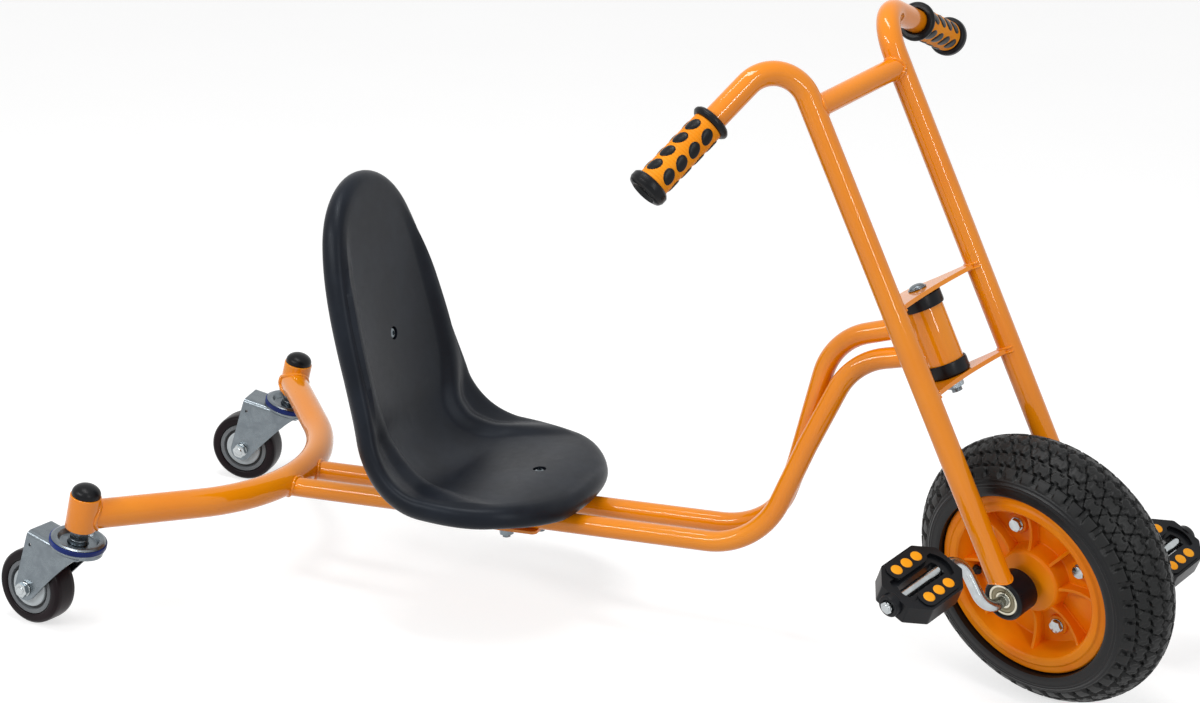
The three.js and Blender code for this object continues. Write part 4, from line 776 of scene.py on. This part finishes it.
def tread_height(u, v):
    """How much of the full tread stands at u, in pitches round the wheel, and v, in mm off the crown"""
    best = np.zeros(np.broadcast(u, v).shape)
    for row in range(-3, 4):
        shoulder = abs(row) == 3
        centre = row * ROW_GAP + (0.6 * np.sign(row) if shoulder else 0)
        du = ((u + 0.5 * (row % 2)) % 1 - 0.5) * PITCH
        dv = v - centre
        if shoulder:
            inner = -dv * np.sign(row)
            gap = np.maximum(np.abs(du) - (6.6 + 0.16 * inner), np.abs(dv) - 6.2)
            stands = 1 - step_up(gap, -0.4, 0.65)
        else:
            gap = np.maximum(np.abs(dv) - 5.6, (np.abs(du) + 0.62 * np.abs(dv) - 9.9) * 0.85)
            notch = np.maximum(np.abs(du) - 1.5, 3.4 - np.abs(dv))
            gap = np.maximum(gap, -notch)
            slot = np.maximum(np.abs(np.abs(du) - 5.6) - 0.45, np.abs(dv) - 2.2)
            stands = 1 - step_up(gap, -0.4, 0.65) - 0.25 * (1 - step_up(slot, -0.3, 0.4))
        best = np.maximum(best, stands)
    return np.clip(best, 0, 1)


def tyre_form():
    fine = np.radians(np.linspace(-CROWN_EDGE, CROWN_EDGE, 800))
    r, y = tyre_point(fine, 0)
    length = np.r_[0, np.cumsum(np.hypot(np.diff(r), np.diff(y)))]
    length -= length[-1] / 2
    v = np.linspace(length[0], length[-1], TREAD_ROWS)
    angle = np.interp(v, length, fine)
    u = np.linspace(0, PITCHES, PITCHES * PER_PITCH, endpoint=False)
    spin = u / PITCHES * TURN
    grid_u, grid_v = np.meshgrid(u, v)
    stands = tread_height(grid_u, grid_v)
    edge_fade = step_up(np.abs(grid_v), 41, 46)
    inset = TYRE_INSET + TREAD_DEEP * (1 - stands) * (1 - 0.7 * edge_fade)
    r, y = tyre_point(angle[:, None], inset)
    rows = [np.stack([r[k] * np.cos(spin), y[k], r[k] * np.sin(spin)], -1) for k in range(len(v))]
    wall_r, wall_y = tyre_point(math.radians(60), 0.95)
    low_r, low_y = tyre_point(math.radians(66), 0.7)
    shape = np.array([(wall_r, wall_y), (low_r, low_y), (97.4, 38.55), (93.4, 38.95), (91, 38.8),
                      (89.9, 38.2)])
    wall = []
    for at in np.linspace(wall_r - 0.2, 90.6, WALL_ROWS):
        side = np.interp(at, shape[::-1, 0], shape[::-1, 1])
        raised = sum(0.55 * math.exp(-((at - ring) / 0.55) ** 2) for ring in MOULD_RINGS)
        wall.append((at, side + raised - 0.2))
    wall += [(89.75, 38.2), (89.5, 37.2), (89.5, 28.2), (82.7, 28.2), (82.7, 21.0)]
    inner = [(tyre_point(math.radians(a), 5 + 3 * math.cos(math.radians(a)))) for a in (55, 28, 0, -28, -55)]
    loop = wall + inner + [(at, -side) for at, side in wall[::-1]]
    rows += [np.stack([at * np.cos(spin), side + 0 * spin, at * np.sin(spin)], -1) for at, side in loop]
    return skin(rows, wrap=True)


make("front_tyre_carcass", "front_wheel", tyre_rubber, [tyre_form()], WHEEL, ["front_tyre"], crease=52)

# Inner tube and its valve
valve_at = turn("Y", -170) @ move(72.5, -12, 0) @ turn("Z", 30) @ turn("Y", 90)
across_y = turn("X", 90)
tube_ring = turned([[78, 0], [83, 20], [106, 30], [122, 0], [106, -30], [83, -20]], 9, 72)
make("inner_tube_valve", "front_wheel", tube_rubber, [
    placed(tube_ring, across_y), placed(turned([
        [0, -13], [2.6, -13], [2.6, -9.5], [4.2, -8.5], [4.2, 10], [0, 10]], 0.5, 32), valve_at)], WHEEL,
    ["inner_tube"])

# Rim halves
RIM_FACE = [[5.3, .15], [35, .15], [35, 4.5], [66.9, 4.5], [71.4, .15], [77, .15], [82, 20.7], [82, 28.5],
            [88.6, 28.5], [88.6, 31.6], [87.2, 33], [83.2, 33], [81.6, 33.2], [79.6, 35], [74.2, 35],
            [72.2, 33.4], [70.9, 27], [68, 8.5], [32.5, 8.5], [30.5, 24.2], [28.6, 26.8], [17, 29.5],
            [5.3, 29.5]]
rib = np.vstack([[(14, 5), (70.6, 5), (72.4, 26.4)], curved((71, 26), (48, 12.5), (30.2, 23.4), 16),
                 [(14, 23)]])
bolt_circle = 50.5


def rim_forms(side):
    body = turned(RIM_FACE, 1.5, 128)
    if side == "right":
        hole = placed(disc(5.2, -12, 12, 0.2, 32), turn("X", 90) @ valve_at)
        body = carved(body, hole)
    forms = [body]
    for k in range(8):
        upright = turn("Z", 22.5 + 45 * k) @ turn("X", 90)
        forms.append(placed(plate(rib, -1.6, 1.6), upright))
        foot_line = np.linspace((34, 0, 8.6), (68.5, 0, 8.6), 8)
        forms.append(placed(sweep(foot_line, 2.4, 12), turn("Z", 22.5 + 45 * k)))
    for k in range(4):
        boss = turned([[0, 1], [9.9, 1], [9.5, 11.5], [0, 11.5]], 1.0, 48)
        forms.append(placed(boss, turn("Z", 90 * k) @ move(bolt_circle)))
    return forms


for side, s in SIDES.items():
    make(side + "_rim_dish", "front_wheel", orange_plastic, rim_forms(side), WHEEL @ turn("X", -90 * s),
         [side + "_rim_half"], edge=0.7, crease=42)

for k in range(4):
    ends = []
    for s in (1, -1):
        flip = turn("X", 0 if s > 0 else 180)
        ends += [placed(f, flip) for f in (
            disc(6.6, 11.8, 12.6, 0.3), hexagon(11, 12.5, 16.4), disc(3, 0, 14, 0.4, 32))]
    ends.append(thread(2.9, 14, 18.4))
    make(f"rim_clamp_bolt_{k + 1}", "front_wheel", bright_zinc, ends,
         WHEEL @ turn("X", -90) @ turn("Z", 90 * k) @ move(bolt_circle), [f"rim_bolt_{k + 1}"])

# Crank
crank_line = rounded([-s * CRANK_R * r * ARM_WAY + (0, s * y, 0) for s, y, r in [
    (-1, REACH, 1), (-1, ARM_Y, 1), (-1, ARM_Y, 0), (1, ARM_Y, 0), (1, ARM_Y, 1), (1, REACH, 1)]],
    [19, 19, 19, 19], step=5)
make("crank_rod", "front_wheel", bright_zinc, [sweep(crank_line, ROD, 32)], WHEEL, ["crank_axle"], edge=0.8)

# Pedals
STUD_AT, STUD_ROW, FACE = 13.6, 18.6, 9.6


def pedal_plan():
    """The block's eight corners"""
    wide, long, cut, cut_long = 30, 38, 15, 17
    return [(wide, long - cut_long), (wide - cut, long), (cut - wide, long), (-wide, long - cut_long),
            (-wide, cut_long - long), (cut - wide, -long), (wide - cut, -long), (wide, cut_long - long)]


window = np.vstack([curved((-7.75, -23.5), (0, -28.7), (7.75, -23.5)),
                    curved((7.75, 23.5), (0, 28.7), (-7.75, 23.5))])
pad = rounded([(-8.8, -23), (8.8, -23), (8.8, 23), (-8.8, 23)], 7.5, closed=True, step=12)
lip = np.vstack([curved((-14, -28), (0, -38.5), (14, -28)), curved((14, 28), (0, 38.5), (-14, 28))])
LEDGE = 6.2
bore = placed(disc(5.8, -80, 80, 0, 40), turn("X", 90))
body_form = carved(plate(rounded(pedal_plan(), 3.5, closed=True, step=15), -FACE, FACE, [window]), bore,
                   plate(lip, LEDGE, 20), plate(lip, -20, -LEDGE))
for side, s in SIDES.items():
    forms = [body_form]
    for row in (1, -1):
        forms.append(placed(plate(pad, -11, 11), move(row * STUD_ROW)))
    forms.append(placed(turned([[6, 36], [11, 36], [9.8, 43.6], [6, 43.6]], 0.9, 48), turn("X", -90 * s)))
    make(side + "_pedal_block", side + "_pedal", black_plastic, forms, PEDAL[side], [side + "_pedal_body"],
         edge=0.9, crease=34)
    for name, row in (("front", 1), ("rear", -1)):
        stud = turned([[0, -11.8], [4.5, -11.6], [5.7, -10.7], [5.7, 10.7], [4.5, 11.6], [0, 11.8]], 0.5, 40)
        make(f"{side}_pedal_{name}_studs", side + "_pedal", stud_plastic,
             [placed(stud, move(0, k * STUD_AT)) for k in (-1, 0, 1)], PEDAL[side] @ move(row * STUD_ROW),
             [f"{side}_pedal_{name}_insert"])
    make(side + "_pedal_lock_nut", "front_wheel", bright_zinc, [
        hexagon(10.4, 40.6, 46.4), disc(3.6, 45, 47.0, 0.4, 32)],
        PEDAL[side] @ turn("X", -90 * s), [side + "_pedal_nut"])


# Castors
def yoke_form():
    """A fork pressed from one sheet: leg, bend, top, bend and leg"""
    outer, soft, top_z = 18.4, 5.0, -5.0
    cx, cz, foot_r = -TRAIL, -DROP, 12.0
    toe = math.radians(330)
    front = np.vstack([curved((cx + foot_r * math.cos(toe), cz + foot_r * math.sin(toe)), (-10, -40),
                              (6, -18), 14), [(17, top_z)]])

    def span(z, y):
        rear = np.interp(z, [cz, top_z], [cx - foot_r, -47.0])
        fore = np.interp(z, front[:, 1], front[:, 0])
        if z < cz:
            rear = cx - math.sqrt(max(foot_r ** 2 - (z - cz) ** 2, 0))
        if z < front[0, 1]:
            fore = cx + math.sqrt(max(foot_r ** 2 - (z - cz) ** 2, 0))
        if z > top_z - soft:
            fore = max(fore, 17 + 9.6 * max(1 - (y / outer) ** 2, 0) - 2 * max(abs(y) / outer - 0.72, 0))
        return rear, fore
    path = [(outer, z) for z in cz - foot_r * np.cos(np.linspace(0, TURN / 4, 9))]
    path += [(outer, z) for z in np.linspace(cz + 4, top_z - soft, 18)]
    path += [(outer - soft + soft * math.cos(a), top_z - soft + soft * math.sin(a))
             for a in np.linspace(0.2, TURN / 4, 6)]
    path = [(-y, z) for y, z in path] + [(y, top_z) for y in np.linspace(-11, 11, 7)] + path[::-1]
    path = np.array(path)
    normal = headings(path)
    inward = np.stack([normal[:, 1], -normal[:, 0]], -1)
    rows = []
    for (y, z), n in zip(path, inward):
        rear, fore = span(z, y)
        x = np.linspace(rear, fore, 22)
        face = np.stack([x, y + 0 * x, z + 0 * x], -1)
        back = np.stack([x, y + 2.6 * n[0] + 0 * x, z + 2.6 * n[1] + 0 * x], -1)
        rows.append(np.concatenate([face, back[::-1]]))
    return loft(rows)


yoke = carved(yoke_form(), disc(10, -12, 6, 0, 48),
              placed(disc(1.7, -30, 30, 0, 20), move(-41.5, 0, -18) @ turn("X", 90)))
race = turned([[10, -7.2], [24, -7.2], [26.4, -4.9], [26.4, -2.9], [25.9, -2.7], [25.9, 2.7], [26.4, 2.9],
               [24, 4.2], [20.1, 3.8], [17.5, -0.9], [10, -0.9]], 0.7, 72)
for side in SIDES:
    make(side + "_swivel_fork", side + "_castor_fork", zinc, [yoke, race], SWIVEL[side],
         [side + "_castor_yoke"], edge=0.45, crease=34)
    make(side + "_race_seal", side + "_castor_fork", blue_seal, [
        turned([[26, -2.6], [27.5, -2.2], [27.5, 2.2], [26, 2.6]], 0.5, 72)], SWIVEL[side],
        [side + "_castor_seal"])
    rolling = ROLLING[side] @ across_y
    make(side + "_castor_tyre", side + "_castor_wheel", tread_plastic, [turned([
        [27.3, -13.6], [34.2, -13.6], [36.8, -11.2], [37.38, -7], [37.38, 7], [36.8, 11.2], [34.2, 13.6],
        [27.3, 13.6]], 2.2, 96)], rolling, [side + "_castor_tread"])
    make(side + "_castor_hub", side + "_castor_wheel", core_grey, [turned([
        [27, -12.4], [27, 12.4], [22.8, 12.7], [22.2, 9.2], [8, 9.2], [4.4, 9.2], [4.4, -9.2], [8, -9.2],
        [22.2, -9.2], [22.8, -12.7]], 0.5, 80)], rolling, [side + "_castor_core"])
    # A near-black ring laid on the groove floor between cap and hub: painted shade
    make(side + "_castor_groove_painted_shade", side + "_castor_wheel", core_groove_shade, [
        placed(turned([[19.4, 8.9], [22.3, 8.9], [22.3, 9.5], [19.4, 9.5]], 0.1, 72), turn("X", flip))
        for flip in (0, 180)], rolling)
    make(side + "_castor_caps", side + "_castor_wheel", core_pale, [
        placed(turned([[4.4, 9.0], [19.6, 9.0], [19.6, 12.4], [18.4, 13.2], [13.5, 13.4], [9, 15.2],
                       [4.4, 15.4]], 0.7, 72), turn("X", flip)) for flip in (0, 180)], rolling)
    ends = []
    for s in (1, -1):
        tail = 2.8 if s > 0 else 1.4
        flip = turn("X", 0 if s > 0 else 180)
        ends += [placed(f, flip) for f in (
            disc(4, 0, 24, 0.3, 40), hexagon(13, 19.4, 24.7), disc(7.4, 18.7, 19.6, 0.3),
            thread(4, 24, 24.7 + tail))]
    make(side + "_castor_axle_bolt", side + "_castor_fork", bright_zinc, ends, ROLLING[side] @ turn("X", -90),
         [side + "_castor_bolt"])


# Seat
SEAT = {
    "nose_x": -111, "nose_z": 142.2, "pan_rise": math.radians(-6.3), "pan_long": 116.6, "bend": 74.2,
    "back_lean": math.radians(80.1), "length": 454.3, "thick": 22.6, "rim": 11.0, "nose_raise": -2.8,
    "back_raise": 28, "top_raise": 2.7, "raise_at": 256, "fall_from": 183.4, "tip_drop": 11.1, "tip_long": 50,
    "middle": 205, "pan_half": 121.4, "pan_at": 108.3, "pan_full": 20.5, "nose_round": 55.9,
    "waist_half": 95.8, "waist_at": 284.5, "waist_in": 193.2, "pan_out": 157.9, "back_out": 322.3,
    "back_half": 94.4, "shoulder_half": 71.3, "shoulder_at": 408.6, "shoulder_in": 371.5,
    "shoulder_full": 88.5, "crown_in": 437.1, "crown_half": 58.5, "crown_round": 30.9,
}


def seat_outline(count):
    q = SEAT
    pan, waist = (q["pan_at"], q["pan_half"]), (q["waist_at"], q["waist_half"])
    shoulder = (q["shoulder_at"], q["shoulder_half"])
    spans = [
        ((0, 0), (0, q["nose_round"]), (q["pan_full"], q["pan_half"]), pan),
        (pan, (q["pan_out"], q["pan_half"]),
         (q["waist_in"], (q["pan_half"] + 2 * q["waist_half"]) / 3), waist),
        (waist, (q["back_out"], q["back_half"]), (q["shoulder_in"], q["shoulder_full"]), shoulder),
        (shoulder, (q["crown_in"], q["crown_half"]), (q["length"], q["crown_round"]), (q["length"], 0)),
    ]
    t = np.linspace(0, 1, 60)[:, None]
    line = np.vstack([(1 - t) ** 3 * a + 3 * (1 - t) ** 2 * t * b + 3 * (1 - t) * t * t * c + t ** 3 * d
                      for a, b, c, d in (map(np.array, span) for span in spans)])
    return resampled(line, count)


def spine(at):
    q = SEAT
    at = np.asarray(at, float)
    bend_long = q["bend"] * (q["back_lean"] - q["pan_rise"])
    flat = np.minimum(at, q["pan_long"])
    heading = q["pan_rise"] + np.clip(at - q["pan_long"], 0, bend_long) / q["bend"]
    back = np.maximum(at - q["pan_long"] - bend_long, 0)
    x = (q["nose_x"] - flat * math.cos(q["pan_rise"])
         - q["bend"] * (np.sin(heading) - math.sin(q["pan_rise"])) - back * math.cos(q["back_lean"]))
    z = (q["nose_z"] + flat * math.sin(q["pan_rise"])
         + q["bend"] * (math.cos(q["pan_rise"]) - np.cos(heading)) + back * math.sin(q["back_lean"]))
    return x, z, heading


def seat_point(at, across, lift):
    q = SEAT
    x, z, heading = spine(at)
    rising = q["nose_raise"] + (q["back_raise"] - q["nose_raise"]) * step_up(at, 0, q["raise_at"])
    rising = rising + (q["top_raise"] - rising) * step_up(at, q["fall_from"], q["length"])
    tip = q["tip_drop"] * np.maximum(1 - at / q["tip_long"], 0) ** 2
    out = lift + rising * (across / q["pan_half"]) ** 2 - np.minimum(tip, q["tip_drop"])
    return np.stack([x + np.sin(heading) * out, across + 0 * out, z + np.cos(heading) * out], -1)


BRACKET_THICK, MOUNT_FRONT, MOUNT_REAR, MOUNT_HALF = 3.0, -124.0, -226.0, 40.0
BOLT_X, PAN_BOLT_X, BACK_BOLT_AT = -180.5, -155.0, 304.0
back_x, back_z, back_heading = spine(BACK_BOLT_AT)
BACK_BOLT = move(back_x, 0, back_z) @ turn("Y", math.degrees(back_heading))
PAN_BOLT = on_tubes(PAN_BOLT_X, 0)
pan_face = (spine((SEAT["nose_x"] - PAN_BOLT_X) / math.cos(SEAT["pan_rise"]))[1] + SEAT["thick"] / 2
            - tube_z(PAN_BOLT_X))


# The crease between the seat's middle and its bolsters: how far along, and how far off the middle
CREASE = np.array([(43, 110), (66, 107), (96, 96), (133, 80), (172, 70), (202, 70), (235, 78), (256, 83),
                   (273, 84), (300, 84), (330, 82), (354, 80), (378, 77), (406, 70), (428, 60)], float)
SOFTEN = 13
crease_at = np.arange(20.0, 451.0)
softer = np.hanning(2 * SOFTEN + 1) / np.hanning(2 * SOFTEN + 1).sum()
crease_across = np.convolve(np.pad(np.interp(crease_at, *CREASE.T), SOFTEN, "edge"), softer, "valid")
crease_slope = np.gradient(crease_across)


def bolster(at, across):
    """How far the side bolsters roll up beyond the crease round the seat's middle"""
    off = np.abs(across) - np.interp(at, crease_at, crease_across)
    off = off / np.hypot(1, np.interp(at, crease_at, crease_slope))
    fade = step_up(at, 24, 120) * (1 - step_up(at, 340, 440))
    crest = 5.0 + 3.0 * step_up(at, 90, 160) * (1 - step_up(at, 190, 270))
    return crest * step_up(off, -13, 2) * (1 - step_up(off, 3, 24)) * fade


def seat_form():
    half = seat_outline(132)
    ring = np.vstack([half, (half * (1, -1))[-2:0:-1]])
    middle = np.array([SEAT["middle"], 0.0])
    away = unit(ring - middle)
    face, rim = SEAT["thick"] / 2, SEAT["rim"]
    section = []
    for share in [0.0, 0.05, 0.1, 0.16, 0.22, 0.28, 0.34, *np.arange(0.38, 0.985, 0.0125)]:
        section.append((share, 0.0, face))
    section += [(1.0, rim * math.cos(a), rim * math.sin(a)) for a in np.radians(np.arange(84, -91, -12))]
    section += [(share, 0.0, -face)
                for share in (0.96, 0.9, 0.82, 0.74, 0.64, 0.54, 0.42, 0.3, 0.18, 0.08, 0.0)]
    rows = []
    for share, out, lift in section:
        at = middle + (ring - middle) * share + away * out
        raised = bolster(at[:, 0], at[:, 1]) if lift == face else 0.0
        points = seat_point(at[:, 0], at[:, 1], lift + raised)
        if lift < 0 and share < 1:
            # The underside rests flat on its bracket between the tubes
            rest = (tube_z(0) + math.tan(math.radians(TUBE_CLIMB)) * points[:, 0] + TUBE_R
                    + BRACKET_THICK + 0.6)
            near = ((points[:, 0] < MOUNT_FRONT + 8) & (points[:, 0] > MOUNT_REAR - 4)
                    & (np.abs(points[:, 1]) < MOUNT_HALF + 8))
            points[:, 2] = np.where(near, np.maximum(points[:, 2], rest), points[:, 2])
        rows.append(points)
    return skin(rows)


seat_cuts = [placed(disc(6.6, pan_face - 4, pan_face + 20, 0, 40), PAN_BOLT),
             placed(disc(6.6, SEAT["thick"] / 2 - 3.5, 30, 0, 40), BACK_BOLT)]
make("moulded_seat", "main_frame", seat_skin, [carved(seat_form(), *seat_cuts)], nodes=["seat_shell"],
     crease=40)


def bracket_form():
    """A bent strip: flat on the tubes, then up behind the seat, narrowing to a rounded top"""
    def top(x):
        return tube_z(x) + (TUBE_R + 0.3 + BRACKET_THICK) / math.cos(math.radians(TUBE_CLIMB))
    first = SEAT["pan_long"] - SEAT["bend"] * SEAT["pan_rise"]
    stations = first + (331 - first) * np.arange(1, 29) / 28
    x, z, heading = spine(stations)
    out = SEAT["thick"] / 2 + 0.9
    line = np.vstack([[(MOUNT_FRONT, top(MOUNT_FRONT)), (MOUNT_REAR, top(MOUNT_REAR))],
                      np.stack([x - np.sin(heading) * out, z - np.cos(heading) * out], -1)])
    line = resampled(line, 110)
    way = headings(line)
    down = np.stack([-way[:, 1], way[:, 0]], -1)
    down = down * np.where(down @ (0.7, -1) < 0, -1, 1)[:, None]
    high = spine(331)[1]
    neck = curved((33, 126), (14, 126), (14, 182), 16)
    rows = []
    for (px, pz), n in zip(line, down):
        half = 40.0 if pz < 125 else np.interp(pz, neck[:, 1], neck[:, 0])
        if pz > high - 14:
            half = math.sqrt(max(14 ** 2 - (pz - high + 14) ** 2, 0.2))
        if px > MOUNT_FRONT - 5:
            half -= 5 - math.sqrt(max(25 - (5 - (MOUNT_FRONT - px)) ** 2, 0))
        y = np.linspace(-half, half, 9)
        face = np.stack([px + 0 * y, y, pz + 0 * y], -1)
        back = face + BRACKET_THICK * np.array([n[0], 0, n[1]])
        rows.append(np.concatenate([face, back[::-1]]))
    return loft(rows)


make("seat_stay", "main_frame", black_coat, [bracket_form()], nodes=["seat_bracket"], edge=0.6)
clamp = rounded([(-35, -36), (35, -36), (35, 36), (-35, 36)], 5, closed=True, step=15)
make("clamp_strap", "main_frame", orange_paint, [plate(clamp, -12.8, -9.8)], on_tubes(BOLT_X, 0),
     ["seat_clamp_plate"], edge=0.6)


def seat_bolt(head_at, nut_at, head_r):
    dome = [(head_r * math.cos(a), head_at + 0.5 + 2.1 * math.sin(a)) for a in np.linspace(0, TURN / 4, 8)]
    head = lathe([(0, head_at), (head_r - 0.2, head_at), *dome[:-1], (0, head_at + 2.6)], 48)
    key = hexagon(4.6, head_at + 0.6, head_at + 8)
    return [carved(head, key), disc(4, nut_at - 7, head_at + 0.4, 0.3, 32), hexagon(13, nut_at - 6.5, nut_at),
            thread(4, nut_at - 9.5, nut_at - 6)]


nut_face = -13.1
make("pan_screw", "main_frame", zinc, seat_bolt(pan_face - 3.6, nut_face, 5.6), PAN_BOLT, ["seat_pan_bolt"])
make("back_screw", "main_frame", zinc, seat_bolt(SEAT["thick"] / 2 - 3.1, -15.5, 5.6), BACK_BOLT,
     ["seat_back_bolt"])
for side, s in SIDES.items():
    make(side + "_clamp_screw", "main_frame", zinc, seat_bolt(13.1, nut_face, 8.2),
         on_tubes(BOLT_X, s * TUBE_Y), [side + "_clamp_bolt"])


# Floor, light and camera
FLOOR_HALF, FLOOR_GLOW, WORLD_LIGHT = 30.0, 0.66, 0.42


def studio():
    """A white floor that keeps the shadow, under an even white world"""
    mesh = bpy.data.meshes.new("studio_floor")
    corners = [(-1, -1), (1, -1), (1, 1), (-1, 1)]
    mesh.from_pydata([(x * FLOOR_HALF, y * FLOOR_HALF, 0) for x, y in corners], [], [(0, 1, 2, 3)])
    floor = bpy.data.objects.new("studio_floor", mesh)
    bpy.context.scene.collection.objects.link(floor)
    look = Look("pale_floor", None, Roughness=0.9)
    look.surface(
        Base_Color=look.tint(look.noise(3.0), (0.50, 0.50, 0.50, 1), (0.53, 0.53, 0.53, 1)),
        Emission_Color=look.tint(look.surroundings(), (0, 0, 0, 1), (FLOOR_GLOW, FLOOR_GLOW, FLOOR_GLOW, 1)),
        Emission_Strength=1.0)
    mesh.materials.append(look.material)
    world = bpy.data.worlds.new("studio")
    bpy.context.scene.world = world
    sky = Nodes(world)
    level = sky.node("ShaderNodeMapRange", None, {
        "Value": sky.surroundings(), "To Min": WORLD_LIGHT, "To Max": 1.0})
    white = sky.node("ShaderNodeBackground", None, {"Color": (1, 1, 1, 1), "Strength": level})
    sky.node("ShaderNodeOutputWorld", None, {"Surface": white})


def lamp(name, place, aim, size, power):
    data = bpy.data.lights.new(name, "AREA")
    data.shape, data.size, data.size_y, data.energy = "RECTANGLE", size[0], size[1], power
    light = bpy.data.objects.new(name, data)
    bpy.context.scene.collection.objects.link(light)
    light.location = place
    light.rotation_euler = (Vector(aim) - Vector(place)).to_track_quat("-Z", "Y").to_euler()


studio()
lamp("overhead_softbox", (-0.2, -0.4, 2.4), (0, 0, 0.2), (1.3, 0.35), 20)
lamp("long_softbox", (-1.2, -2.0, 1.7), (-0.1, 0, 0.15), (1.8, 0.16), 24)
lamp("upright_softbox", (2.15, -1.8, 1.5), (0.35, 0, 0.4), (0.16, 1.6), 18)

# The photograph's camera, solved from the frame's straight tubes and the wheels
CAMERA_AT = (0.7917, -2.0901, 1.0163)
FOCAL, FRAME_WIDE, SENSOR = 2499, 1200, 36.0
azimuth, elevation, roll = (math.radians(v) for v in (20.971, 18.299, 0.766))
back = Vector((math.sin(azimuth) * math.cos(elevation), -math.cos(azimuth) * math.cos(elevation),
               math.sin(elevation)))
right = Vector((math.cos(azimuth), math.sin(azimuth), 0))
up = back.cross(right)
right, up = right * math.cos(roll) + up * math.sin(roll), up * math.cos(roll) - right * math.sin(roll)
lens = bpy.data.cameras.new("camera")
lens.sensor_width, lens.lens, lens.clip_end = SENSOR, FOCAL / FRAME_WIDE * SENSOR, 100.0
camera = bpy.data.objects.new("camera", lens)
camera.matrix_world = Matrix.Translation(CAMERA_AT) @ Matrix((right, up, back)).transposed().to_4x4()
bpy.context.scene.collection.objects.link(camera)
bpy.context.scene.camera = camera
bpy.context.scene.view_settings.view_transform = "Standard"
